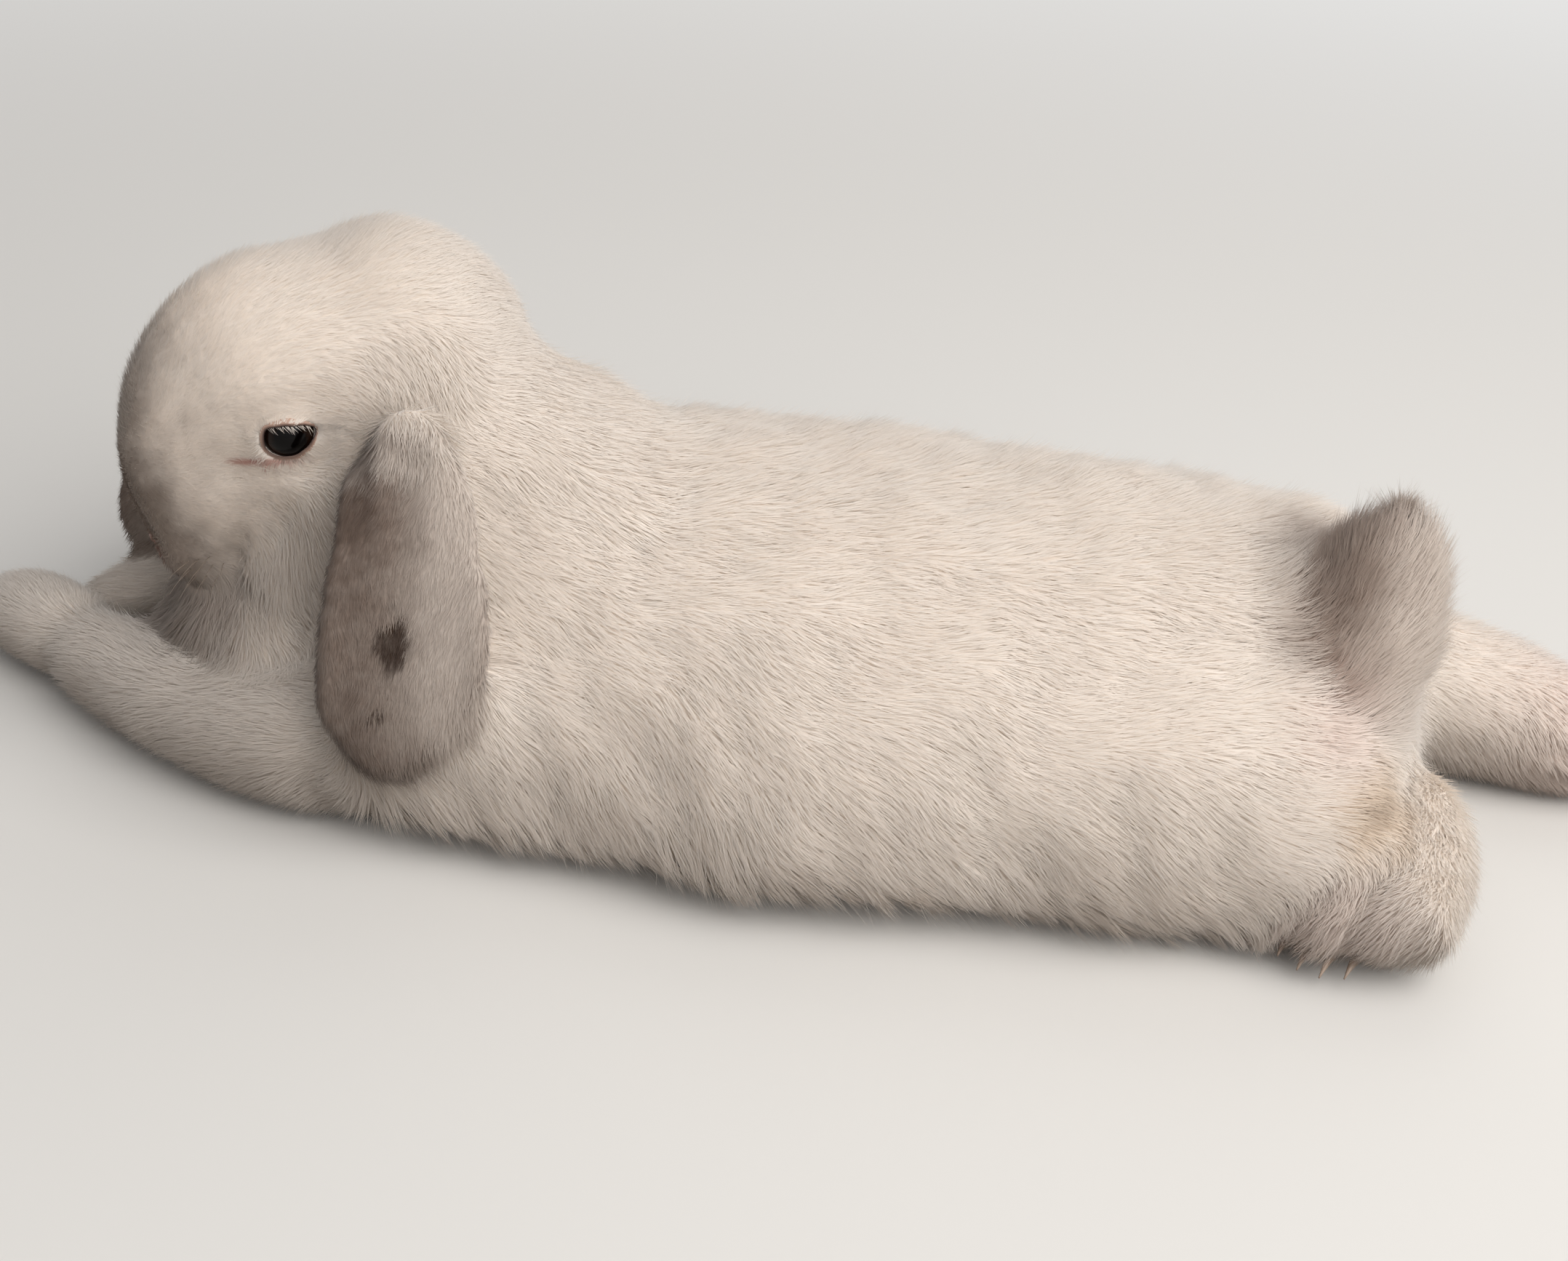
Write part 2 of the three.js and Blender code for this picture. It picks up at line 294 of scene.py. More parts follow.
def besideEye(side, points):
    # along the opening, above it, and how many openings away from its middle
    centre, out, forward, upward = eyePlane[side]
    offset = points - centre
    along, above, proud = offset @ forward, offset @ upward, offset @ out
    away = np.hypot(along, above) / openingReach(np.arctan2(above, along))
    low, high = eyeSet["around"]
    return along, above, np.where((proud > low) & (proud < high), away, eyeSet["farOff"])


# skin below the coat's outline; length, width and lift of the tufts; tufts on a square mm
regionKeys = ("depth", "length", "width", "lift", "per")
regionSet = {
    "trunk": (0.0042, 0.0100, 0.00040, 21, 1.58),
    "neck": (0.0020, 0.0092, 0.00036, 20, 1.90),
    "head": (0.0026, 0.0062, 0.00032, 24, 2.60),
    "ear_left": (0.0010, 0.0036, 0.00030, 14, 3.30),
    "ear_right": (0.0010, 0.0036, 0.00030, 14, 2.50),
    "foreleg_left": (0.0030, 0.0080, 0.00038, 22, 2.00),
    "foreleg_right": (0.0030, 0.0080, 0.00040, 22, 1.60),
    "forepaw_left": (0.0018, 0.0052, 0.00034, 20, 2.70),
    "forepaw_right": (0.0018, 0.0052, 0.00034, 20, 2.30),
    "thigh_left": (0.0042, 0.0100, 0.00040, 21, 1.62),
    "thigh_right": (0.0042, 0.0100, 0.00044, 24, 1.15),
    "hind_foot_left": (0.0024, 0.0068, 0.00036, 24, 2.20),
    "hind_foot_right": (0.0024, 0.0068, 0.00040, 24, 1.60),
    "tail": (0.0048, 0.0120, 0.00038, 26, 2.30),
}
regionNames = list(regionSet)
earNames = ("ear_left", "ear_right")
pawNames = ("forepaw_left", "forepaw_right", "hind_foot_left", "hind_foot_right")


def regionValues(key):
    return np.array([values[regionKeys.index(key)] for values in regionSet.values()])


def columnsOf(weights):
    return dict(zip(regionNames, weights.T))


def principalLine(node, towards):
    coords = coordsOf(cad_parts[node])
    centre = (coords.min(0) + coords.max(0)) / 2
    axes = np.linalg.svd(coords - coords.mean(0), full_matrices=False)[2]
    along = axes[0] * (1 if axes[0] @ np.array(towards) > 0 else -1)
    reach = (coords - centre) @ along
    width = (coords - centre) @ axes[1]
    return {"centre": centre, "along": along, "across": axes[1],
            "from": reach.min(), "to": reach.max(), "half": (width.max() - width.min()) / 2}


# where each limb's hair points: from its root to its tip
lineSet = {
    "ear_left": (0, 0, -1), "ear_right": (-1, 0, -1), "tail": (0.2, 0.4, 1),
    "foreleg_left": (-1, 0, 0), "foreleg_right": (-1, 0, 0),
    "forepaw_left": (-1, 0, 0), "forepaw_right": (-1, 0, 0),
    "thigh_left": (1, 0, -0.3), "thigh_right": (1, 0, -0.3),
    "hind_foot_left": (-0.4, -1, 0), "hind_foot_right": (1, 0, 0),
}
lines = {name: principalLine(name, towards) for name, towards in lineSet.items()}


def alongLine(name, points):
    line = lines[name]
    offset = points - line["centre"]
    along = (offset @ line["along"] - line["from"]) / (line["to"] - line["from"])
    return along, offset @ line["across"] / line["half"]


skinSet = {
    "weld": 0.00002,
    "join": 0.0004,          # closes the thin gaps between the CAD nodes
    "voxel": 0.00192,
    "faceAhead": 0.016,      # inside these, and round the eyes, the face gets a finer mesh
    "faceSide": 0.034,
    "faceBelow": -0.060,
    "roundEye": 0.016,
    "firm": ("ear", "head", "forepaw", "hind", "tail"),   # parts that keep their finer shape
    "backOfHead": (-0.016, -0.044),
    "earRoot": (0.26, 0.08),
    "regionRounds": 6,       # rounds of spreading, each about one edge further
    "coatRounds": 8,
    "fineRounds": 16,
    "fineEdge": (0.55, 1.0),
    "rootRounds": 6,
    "depthRounds": 10,
    "normalRounds": 4,
    "joinRounds": 40,
    "joinEdge": (0.02, 0.35),
    "broadSmooth": (60, 0.6),
    "fineSmooth": (10, 0.5),
    "fillHollows": (140, 0.6),   # fills the hollows round neck, ear roots and tail
    "pareRoots": 0.8,
    "pareRounds": 12,
    "lastSmooth": (2, 0.5),
    "loose": ("trunk", "neck", "thigh_left", "thigh_right"),
    "puff": 0.0009,          # soft unevenness of the body under its coat
    "puffs": ((1, 0.042, 61), (0.5, 0.016, 62)),     # share, size and seed
    "floor": 0.0012,
}


def joinedFlesh():
    # the eyes are joined in too, so that no sockets are left round the lids
    names = regionNames + [f"eye_{side}" for side in sides]
    skin = joined([copyOf(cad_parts[name]) for name in names], "skin")
    inEdit(skin, bpy.ops.mesh.remove_doubles, threshold=skinSet["weld"])
    applyModifier(skin, "DISPLACE", strength=skinSet["join"], mid_level=0)
    applyModifier(skin, "REMESH", mode="VOXEL", voxel_size=skinSet["voxel"])
    middles = readArray(skin.data.polygons, "center")
    ahead, left, up = toHead(middles).T
    chosen = (ahead > skinSet["faceAhead"]) & (up > skinSet["faceBelow"])
    chosen &= np.abs(left) < skinSet["faceSide"]
    for side in sides:
        chosen |= np.linalg.norm(middles - eyePlane[side][0], axis=1) < skinSet["roundEye"]
    inEdit(skin, bpy.ops.mesh.subdivide, chosen, number_cuts=1, smoothness=0)
    return skin


def spread(values, edges, rounds, share=0.5):
    # every round moves each point's values towards the mean of its neighbours'
    count = len(values)
    degree = np.maximum(np.bincount(edges.ravel(), minlength=count).astype(float), 1)
    degree = degree.reshape((-1,) + (1,) * (values.ndim - 1))
    one, other = edges.T
    for _ in range(rounds):
        total = [np.bincount(one, column[other], count) + np.bincount(other, column[one], count)
                 for column in values.reshape(count, -1).T]
        total = np.stack(total, 1).reshape(values.shape)
        values = values * (1 - share) + total / degree * share
    return values


def regionWeights(points, edges, rounds):
    # each point belongs to the nearest CAD node, blended over the edges between them
    corners, faces, owner = [], [], []
    for number, name in enumerate(regionNames):
        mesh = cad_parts[name].data
        faces += [[len(corners) + v for v in face.vertices] for face in mesh.polygons]
        owner += [number] * len(mesh.polygons)
        corners += [v.co.copy() for v in mesh.vertices]
    tree = BVHTree.FromPolygons(corners, faces)
    nearest = [owner[tree.find_nearest(Vector(point))[2]] for point in points]
    weights = np.zeros((len(points), len(regionNames)))
    weights[np.arange(len(points)), nearest] = 1
    return spread(weights, edges, rounds)


muzzleSet = {
    "tipUp": (-0.036, 0),    # heights between which the nose is looked for
    "tipAside": 3,           # how much less a point counts for being off the middle line
    "mouthCut": 0.0030,
    "mouthWide": 0.0012,
    "mouthBelow": 0.0102,    # the mouth under the nose tip
    "mouthSlope": 0.13,
    "mouthBack": (0.021, 0.015),
    "lipCut": 0.0026,
    "lipWide": 0.0011,
    "lipBack": (0.012, 0.009),
    "lipTop": 0.002,
    "lipFoot": (-0.001, 0.0015),
    "padCut": 0.0014,        # hollow behind the whisker pads
    "padBack": (0.024, 0.006),
    "padBelow": (0.008, 0.011),
    "padSide": (0.006, 0.014),
    "besideEyes": (0.014, 0.022),
}
# rise of the skin, with middle and width ahead of the eyes' middle and above it
eyeMounds = {
    "brow": (0.0016, (-0.001, 0.014), (0.0115, 0.0045)),
    "socket": (-0.0006, (0, 0.0115), (0.001, 0.0090)),
    "under": (0.0008, (0.008, 0.013), (-0.0130, 0.0055)),
    "trough": (-0.0012, (0.019, 0.008), (-0.006, 0.006)),
}
# and with middle and width behind the nose tip, out to the side and below the tip
noseMounds = {
    "pad": (0.0024, (0.0060, 0.0080), (0.0078, 0.0055), (0.0050, 0.0058)),
    "chin": (0.0012, (0.010, 0.008), (0, 0.007), (0.0165, 0.0045)),
    "bridge": (-0.0016, (0.014, 0.009), (0.0145, 0.0055), (-0.0065, 0.0070)),
}


def noseTip(points):
    # the skin's foremost point on the head's middle line, in the head's own directions
    own = toHead(points)
    low, high = muzzleSet["tipUp"]
    own = own[(own[:, 2] > low) & (own[:, 2] < high)]
    return own[np.argmax(own[:, 0] - muzzleSet["tipAside"] * np.abs(own[:, 1]))]


def mouthLine(ahead, left, up, tip):
    # how near a point is to the line of the mouth and to the cleft under the nose
    values = muzzleSet
    back, above = tip[0] - ahead, up - tip[2]
    mouth = bump(above, -values["mouthBelow"] - values["mouthSlope"] * back, values["mouthWide"])
    cleft = bump(left, 0, values["lipWide"]) * fade(*values["lipBack"], back)
    cleft = cleft * fade(0, -values["lipTop"], above)
    cleft = cleft * fade(*values["lipFoot"], above + values["mouthBelow"])
    return mouth * fade(*values["mouthBack"], back), cleft


def headShapes(points, tip):
    # sockets, brows, whisker pads, chin, mouth and nose cleft swell or hollow the head's skin
    ahead, left, up = toHead(points).T
    side, back, below = np.abs(left), tip[0] - ahead, tip[2] - up
    level, forward = up - headSet["eyeAbove"], ahead - headSet["eyeAhead"]
    outward = sum(rise * mound((forward, level), spans) for rise, *spans in eyeMounds.values())
    outward = outward * fade(*muzzleSet["besideEyes"], side)
    outward += sum(rise * mound((back, side, below), spans) for rise, *spans in noseMounds.values())
    behindPad = mound((back, below), (muzzleSet["padBack"], muzzleSet["padBelow"]))
    outward -= muzzleSet["padCut"] * behindPad * fade(*muzzleSet["padSide"], side)
    mouth, cleft = mouthLine(ahead, left, up, tip)
    return outward - muzzleSet["lipCut"] * cleft - muzzleSet["mouthCut"] * mouth


earSet = {
    "rim": (0.0017, 0.84, 0.12),      # rise, middle and width across the ear
    "rimFrom": (0.10, 0.25),
    "hollow": (0.0010, 0.05, 0.42),
    "hollowFrom": (0.12, 0.35),
    "hollowTo": (1.0, 0.85),
    # rise, middle across the ear, its slant, width, and where along the ear it ends
    "folds": ((0.0016, 0.42, -0.35, 0.13, (0.55, 0.12)), (0.0010, -0.20, -0.2, 0.12, (0.42, 0.08))),
}


def earShapes(points, name):
    # rolled rims, a shallow middle and the folds that run out of the base
    along, across = alongLine(name, points)
    rise, middle, width = earSet["rim"]
    total = rise * bump(np.abs(across), middle, width) * fade(*earSet["rimFrom"], along)
    rise, middle, width = earSet["hollow"]
    hollow = rise * bump(across, middle, width) * fade(*earSet["hollowFrom"], along)
    total -= hollow * fade(*earSet["hollowTo"], along)
    for rise, middle, slant, width, ends in earSet["folds"]:
        total += rise * bump(across, middle + slant * along, width) * fade(*ends, along)
    return total


drapeSet = {
    "gap": 0.0002,           # over the lids
    "shoulder": 0.60,        # share of the ball's radius where the skin starts to fall away
    "dome": 0.0058,          # how fast it does
    "proudTo": (0.0130, 0.0085),
    "heights": (-0.008, 0.016),
    "reach": 0.026,
    "hole": (1.22, 1.00),
    "holeDepth": 0.0030,
}


def drapeLids(points):
    # the skin lies over each eyeball, falls away round it and dips behind it inside the opening
    over = eyeSet["ball"] + lidSet["gap"] + drapeSet["gap"]
    shoulder = over * drapeSet["shoulder"]
    low, high = drapeSet["heights"]
    for side in sides:
        centre, out, forward, upward = eyePlane[side]
        offset = points - centre
        along, above, proud = offset @ forward, offset @ upward, offset @ out
        across = np.linalg.norm(offset - proud[:, None] * out, axis=1)
        height = np.sqrt(np.maximum(over ** 2 - np.minimum(across, shoulder) ** 2, 0))
        share = np.exp(-np.maximum(across - shoulder, 0) / drapeSet["dome"])
        share = np.where(proud > height, fade(*drapeSet["proudTo"], across), share)
        near = (proud > low) & (proud < high) & (across < drapeSet["reach"])
        openings = np.hypot(along, above) / openingReach(np.arctan2(above, along))
        hole = fade(*drapeSet["hole"], openings) * near
        rise = (height - proud) * share * near * (1 - hole)
        rise += hole * np.minimum(eyeSet["ball"] - drapeSet["holeDepth"] - proud, 0)
        points = points + rise[:, None] * out
    return points


toeSet = {"toes": 4, "half": 0.82, "wide": 0.085, "groove": 0.0026, "from": (0.55, 0.80)}


def toeShapes(points, name):
    along, across = alongLine(name, points)
    places = [toeSet["half"] * (2 * number / toeSet["toes"] - 1)
              for number in range(1, toeSet["toes"])]
    grooves = sum(bump(across, place, toeSet["wide"]) for place in places)
    return -toeSet["groove"] * grooves * fade(*toeSet["from"], along)


def shapeSkin(skin):
    # smoothed, drawn in by the coat's depth, filled at the joins and given its small shapes
    edges, points = edgesOf(skin), coordsOf(skin)
    weights = regionWeights(points, edges, skinSet["regionRounds"])
    column = columnsOf(weights)
    fine = sum(column[name] for name in regionNames if name.startswith(skinSet["firm"]))
    fine = fade(*skinSet["fineEdge"], spread(fine, edges, skinSet["fineRounds"]))
    fine = fine * (1 - column["head"] * fade(*skinSet["backOfHead"], toHead(points)[:, 0]))
    roots = sum(column[name] * fade(*skinSet["earRoot"], alongLine(name, points)[0])
                for name in earNames)
    fine = fine * (1 - spread(roots, edges, skinSet["rootRounds"]))
    joins = column["neck"] + column["tail"] + roots
    broad = spread(points, edges, *skinSet["broadSmooth"])
    close = spread(points, edges, *skinSet["fineSmooth"])
    points = close * fine[:, None] + broad * (1 - fine[:, None])
    setCoords(skin, points)
    weights = spread(weights, edges, skinSet["depthRounds"])
    column = columnsOf(weights)
    normals = unit(spread(normalsOf(skin), edges, skinSet["normalRounds"]))
    points = points - normals * (weights @ regionValues("depth"))[:, None]
    joins = fade(*skinSet["joinEdge"], spread(joins, edges, skinSet["joinRounds"]))
    hollow = ((spread(points, edges, *skinSet["fillHollows"]) - points) * normals).sum(1)
    filled = np.maximum(hollow, 0) * joins
    pared = skinSet["pareRoots"] * np.minimum(hollow, 0)
    filled += pared * spread(roots, edges, skinSet["pareRounds"])
    points = points + normals * filled[:, None]
    outward = headShapes(points, noseTip(points)) * column["head"]
    for name in earNames:
        outward += earShapes(points, name) * column[name]
    for name in pawNames:
        outward += toeShapes(points, name) * column[name]
    puffs = sum(part * softNoise(points, size, seed) for part, size, seed in skinSet["puffs"])
    outward += skinSet["puff"] * sum(column[name] for name in skinSet["loose"]) * puffs
    points = points + normals * outward[:, None]
    rounds, share = skinSet["lastSmooth"]
    points = points + (spread(points, edges, rounds) - points) * share
    points = drapeLids(points)
    points[:, 2] = np.maximum(points[:, 2], skinSet["floor"])
    setCoords(skin, points)
    makeActive(skin)
    bpy.ops.object.shade_smooth()


earMarkSet = {
    "ragged": ((0.05, 0.010, 21), (0.03, 0.004, 22)),   # how far edges wander, size and seed
    "raggedAlong": 0.4,
    "shade": 0.40,
    "front": (0.34, (0.05, -0.60), (0.02, 0.16)),
    "upper": (0.26, (0.27, 0.16), (0.30, -0.30)),
    "tip": (0.25, (0.80, 1.0)),
    "band": (0.62, (0.52, 0.34), (0.05, 0.25), (0.97, 0.75)),
    # across and along the ear, half width and half length
    "spots": ((-0.10, 0.600, 0.17, 0.080), (-0.30, 0.790, 0.10, 0.035)),
    "spotEdge": (1.25, 0.55),
    "base": (0.04, 0.30),    # share of the ear's length over which the cream base ends
    "baseRagged": 0.35,
    "fawn": (0.40, 0.60),
    "dark": 0.62,
    "darkFrom": 0.1,
    "blend": (0.25, 0.75),   # from the head to the ear
}


def earMarks(points, name):
    # darker front and rims, a paler band behind the middle, two dark spots towards the tip
    values = earMarkSet
    along, across = alongLine(name, points)
    reach = across * (1 if lines[name]["across"][0] > 0 else -1)
    ragged = sum(wander * softNoise(points, size, seed) for wander, size, seed in values["ragged"])
    reach, along = reach + ragged, along + values["raggedAlong"] * ragged
    strength, acrossEdge, alongEdge = values["front"]
    shade = values["shade"] + strength * fade(*acrossEdge, reach) * fade(*alongEdge, along)
    strength, place, acrossEdge = values["upper"]
    shade += strength * bump(along, *place) * fade(*acrossEdge, reach)
    strength, alongEdge = values["tip"]
    shade += strength * fade(*alongEdge, along)
    strength, place, start, end = values["band"]
    shade -= strength * bump(reach, *place) * fade(*start, along) * fade(*end, along)
    shade = np.clip(shade, 0, 1)
    spots = np.zeros(len(points))
    for middle, height, wide, tall in values["spots"]:
        away = np.hypot((reach - middle) / wide, (along - height) / tall)
        spots = np.maximum(spots, fade(*values["spotEdge"], away))
    own = fade(*values["base"], along + values["baseRagged"] * ragged)
    least, more = values["fawn"]
    return (own * (least + more * shade),
            own * (values["dark"] * np.maximum(shade - values["darkFrom"], 0) + spots))


tailMarkSet = {
    "ragged": (0.05, 0.016, 31),
    "stripe": (0.02, 0.26),  # middle and width of the dark stripe at the root, as shares
    "lean": 0.34,            # how much further back it lies at the top
    "stripeFrom": (0.12, 0.45),
    "tip": (0.84, 1.0),
    "tipDark": 0.35,
    # a box round the tail's root where the stripe spills onto the rump
    "beside": ((0, (-0.35, -0.05)), (1, (-0.3, 0.1)), (1, (1.4, 1.0)), (0, (1.3, 1.0))),
    "fawn": (0.36, 0.54),
    "rump": 0.80,
    "dark": 0.06,
    "blend": (0.1, 0.8),     # from the rump to the tail
}


def tailMarks(points, column):
    # a soft dark stripe up the edge beside the rump, and a dusky tip
    values = tailMarkSet
    low, high = (np.array(corner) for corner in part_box("tail"))
    share = (points - low) / (high - low)
    wander, size, seed = values["ragged"]
    ragged = wander * softNoise(points, size, seed)
    stripe = bump(share[:, 0] - values["lean"] * share[:, 2] + ragged, *values["stripe"])
    stripe = stripe * fade(*values["stripeFrom"], share[:, 2] + ragged)
    stripe = stripe + values["tipDark"] * fade(*values["tip"], share[:, 2] + ragged)
    stripe = np.clip(stripe, 0, 1)
    beside = math.prod(fade(*edge, share[:, axis]) for axis, edge in values["beside"])
    tail = fade(*values["blend"], column["tail"])
    least, more = values["fawn"]
    rump = (1 - tail) * column["trunk"] * values["rump"] * stripe * beside
    return tail * (least + more * stripe) + rump, tail * values["dark"] * stripe


# strength, how ragged its edge is, and between which distances aside, behind the nose tip, ahead
# of the head's middle and above it each dusky or painted-shade part of the face comes in
duskyFaceAndShadeSet = {
    # the muzzle: the nose's dusky colour deepened with painted shade
    "muzzle": {"dark": 0.82, "ragged": 0, "side": (0.032, 0.014), "back": (0.0200, 0.0055),
               "up": (0.020, 0.000)},
    # painted shade over the brow
    "brow": {"dark": 0.18, "ragged": 2, "side": (0.030, 0.012), "ahead": (0.000, 0.030)},
    # the nose bridge's own dusky colour
    "bridge": {"dark": 0.55, "ragged": 1, "side": (0.018, 0.005), "ahead": (0.008, 0.036)},
    # painted shade under the chin, spilling onto neck and chest
    "throat": {"dark": 0.60, "ragged": 0, "side": (0.046, 0.022), "ahead": (0.020, 0.042),
               "up": (-0.016, -0.034)},
}
# lines drawn from the eye: their place ahead and above, slope, width, and where they start and end
creaseSet = {
    "fold": ((0.006, -0.0066), -0.16, 0.0009, (-0.006, 0.004), (0.0185, 0.0130)),
    "crease": ((-0.007, 0.0030), 0.05, 0.0010, (-0.0060, -0.0085), (-0.020, -0.010)),
}
faceMarkSet = {
    "ragged": (0.0018, 0.010, 51),
    # darkness of the painted shade along the mouth's line and down the lip cleft
    "mouth": 0.75,
    "nosePink": 0.6,
    "noseSize": (0.006, 0.0065, 0.0055),
    "fold": 0.8,
    "foldDark": (0.30, (0.004, 0.010)),
    "creaseDark": 0.35,
}
# a yellowed patch with a brown spot where the near hind foot meets the thigh, pink skin above it
ankleSet = {
    "place": (-0.003, -0.010, 0.024),    # from the foot's middle
    "size": (0.019, 0.018, 0.013),
    "ragged": (0.12, 0.012, 41),
    "stain": (0.48, (1.25, 0.2)),
    "spot": (0.40, (0.42, 0.12)),
    "blush": (0.20, (-0.014, 0.004, 0.018), 0.012),
    "toes": (0.16, "hind_foot_left", (0.62, 0.92)),
    "sole": (0.22, "hind_foot_right", (0.25, 0.9)),
}


def creaseLine(name, along, above):
    (ahead, height), slope, width, start, end = creaseSet[name]
    line = bump(above, height + slope * (along - ahead), width)
    return line * fade(*start, along) * fade(*end, along)


def faceMarks(points, tip, column):
    # dusky face with painted shade on brow, muzzle and throat, painted shade along the mouth,
    # pink nose, and the folds that run out from the eyes' corners
    values = faceMarkSet
    ahead, left, up = toHead(points).T
    wander, size, seed = values["ragged"]
    ragged = wander * softNoise(points, size, seed)
    smut = np.zeros(len(points))
    for part in duskyFaceAndShadeSet.values():
        places = {"side": np.abs(left) + part["ragged"] * ragged, "ahead": ahead, "up": up,
                  "back": tip[0] - ahead - ragged}
        own = math.prod(fade(*part[key], place) for key, place in places.items() if key in part)
        smut = np.maximum(smut, part["dark"] * own)
    # painted shade along the mouth's line and down the lip cleft, grooves too fine to shade
    # themselves
    dark = values["mouth"] * np.clip(sum(mouthLine(ahead, left, up, tip)), 0, 1) * column["head"]
    spans = zip((tip[0], 0, tip[2]), values["noseSize"])
    pink = values["nosePink"] * mound((ahead, left, up), spans)
    for side in sides:
        along, above, away = besideEye(side, points)
        near = (away < eyeSet["farOff"]).astype(float)
        fold = values["fold"] * creaseLine("fold", along, above) * near
        strength, edge = values["foldDark"]
        pink += fold
        dark += strength * fold * fade(*edge, along)
        dark += values["creaseDark"] * creaseLine("crease", along, above) * near
    return smut * (column["head"] + column["neck"] + column["trunk"]), dark, pink * column["head"]


def ankleMarks(points, column):
    values = ankleSet
    offset = points - middleOf("hind_foot_left") - np.array(values["place"])
    wander, size, seed = values["ragged"]
    away = np.linalg.norm(offset / np.array(values["size"]), axis=1)
    away = away + wander * softNoise(points, size, seed)
    stain, spot = (strength * fade(*edge, away)
                   for strength, edge in (values["stain"], values["spot"]))
    strength, place, size = values["blush"]
    pink = strength * bump(np.linalg.norm(offset - np.array(place), axis=1), 0, size)
    for strength, foot, edge in (values["toes"], values["sole"]):
        pink += strength * fade(*edge, alongLine(foot, points)[0]) * column[foot]
    return stain, spot, pink


def markings(points, weights, tip):
    column = columnsOf(weights)
    fawn, dark = tailMarks(points, column)
    for name in earNames:
        ownFawn, ownDark = earMarks(points, name)
        own = fade(*earMarkSet["blend"], column[name])
        fawn, dark = fawn + own * ownFawn, dark + own * ownDark
    smut, faceDarkAndShade, facePink = faceMarks(points, tip, column)
    stain, spot, footPink = ankleMarks(points, column)
    # the dusky face with its painted shade, and the ankle's brown spot
    marks = {"fawn": fawn, "dark": dark + faceDarkAndShade, "smut": smut + spot,
             "pink": facePink + footPink, "stain": stain}
    return {key: np.clip(values, 0, 1) for key, values in marks.items()}


lieSet = {
    "rounds": 24,            # of spreading over the edges between parts
    "chest": (0.2, 0.8),     # hair falls steeply on what faces ahead, and falls on what faces back
    "rear": (0.4, 0.9),
    "lowDown": (0.055, 0.012),
    "outwards": (0.02, 0.15, 0.5, 0.8),
    "down": (0.25, 0.75, 0.4, 1.5),
    "cheeks": (0.03, 0.35),
    "jaw": (0.45, (-0.008, -0.03)),
    "earRoot": (0.22, 0.02),
    "earFall": 0.55,
    "thigh": 0.6,
    "foot": 0.7,
    "feet": {"hind_foot_left": (-0.25, 0, -0.7), "hind_foot_right": (0, 0, -0.6)},
    "crownPlace": 0.006,     # over each ear's root the crown's hair runs down onto the ear
    "crown": (0.034, 0.012),
    "crownOut": 0.9,
    "noseRound": (0.016, 0.005),
    "noseBack": (0.018, 0.008),
    "noseDraw": 0.003,
    "eyeRound": (2.1, 1.25),
    "overEye": 0.0015,
    "eyeShare": (0.55, 0.92),
}


def flat(lie, normals):
    return unit(lie - normals * (lie * normals).sum(1)[:, None])


def mixedLie(lie, other, share):
    return lie * (1 - share)[:, None] + other * share[:, None]


def lieOfCoat(points, normals, weights, edges):
    values = lieSet
    chest = fade(*values["chest"], -normals[:, 0])
    lowDown = fade(*values["lowDown"], points[:, 2])
    half, least, more, less = values["outwards"]
    outwards = np.clip(points[:, 1] / half, -1, 1) * (1 - less * chest)
    outwards = outwards * (least + more * lowDown)
    least, flank, high, steep = values["down"]
    down = least + flank * np.abs(normals[:, 1]) * (high + lowDown) + steep * chest
    down = down + fade(*values["rear"], normals[:, 0])
    trunkLie = np.stack([np.ones(len(points)), outwards, -down], 1)
    left, up = toHead(points).T[1:]
    (half, out), (jaw, jawEdge) = values["cheeks"], values["jaw"]
    headLie = (headLeft * (np.clip(left / half, -1, 1) * out)[:, None] - headAhead
               - headUp * (jaw * fade(*jawEdge, up))[:, None])
    lie = np.zeros_like(points)
    for number, name in enumerate(regionNames):
        if name in lines:
            own = np.broadcast_to(lines[name]["along"], points.shape)
        if name in ("trunk", "neck"):
            own = trunkLie
        elif name == "head":
            own = headLie
        elif name in earNames:
            root = fade(*values["earRoot"], alongLine(name, points)[0])
            out = headLeft * sides[name.split("_")[1]]
            own = own * (1 - values["earFall"] * root)[:, None] + out * root[:, None]
        elif name.startswith("thigh"):
            own = (own + trunkLie) * values["thigh"]
        elif name in values["feet"]:
            own = own * values["foot"] + np.array(values["feet"][name])
        lie += unit(own) * weights[:, number][:, None]
    for side, sign in sides.items():
        line = lines[f"ear_{side}"]
        root = line["centre"] + line["along"] * (line["from"] + values["crownPlace"])
        share = fade(*values["crown"], np.linalg.norm(points - root, axis=1))
        falling = unit(line["along"] + headLeft * sign * values["crownOut"])
        lie = mixedLie(lie, falling, share * columnsOf(weights)["head"])
    lie = flat(spread(flat(lie, normals), edges, values["rounds"]), normals)
    return flat(roundEyes(points, roundNose(points, lie)), normals)


def roundNose(points, lie):
    # hair leaves the nose on every side
    tip = noseTip(points)
    ahead, left, up = toHead(points).T
    above, back = up - tip[2], tip[0] - ahead
    radial = left[:, None] * headLeft + above[:, None] * headUp - lieSet["noseDraw"] * headAhead
    share = fade(*lieSet["noseRound"], np.hypot(left, above)) * fade(*lieSet["noseBack"], back)
    return unit(mixedLie(lie, unit(radial), share))


def roundEyes(points, lie):
    # hair parts round the eyes: outwards at the lids, with the head's own lie further off
    for side in sides:
        forward, upward = eyePlane[side][2:]
        along, above, away = besideEye(side, points)
        radial = unit(along[:, None] * forward + above[:, None] * upward)
        share = fade(*lieSet["eyeRound"], away)
        share = share * np.where(above > lieSet["overEye"], *lieSet["eyeShare"])
        lie = unit(mixedLie(lie, radial, share))
    return lie


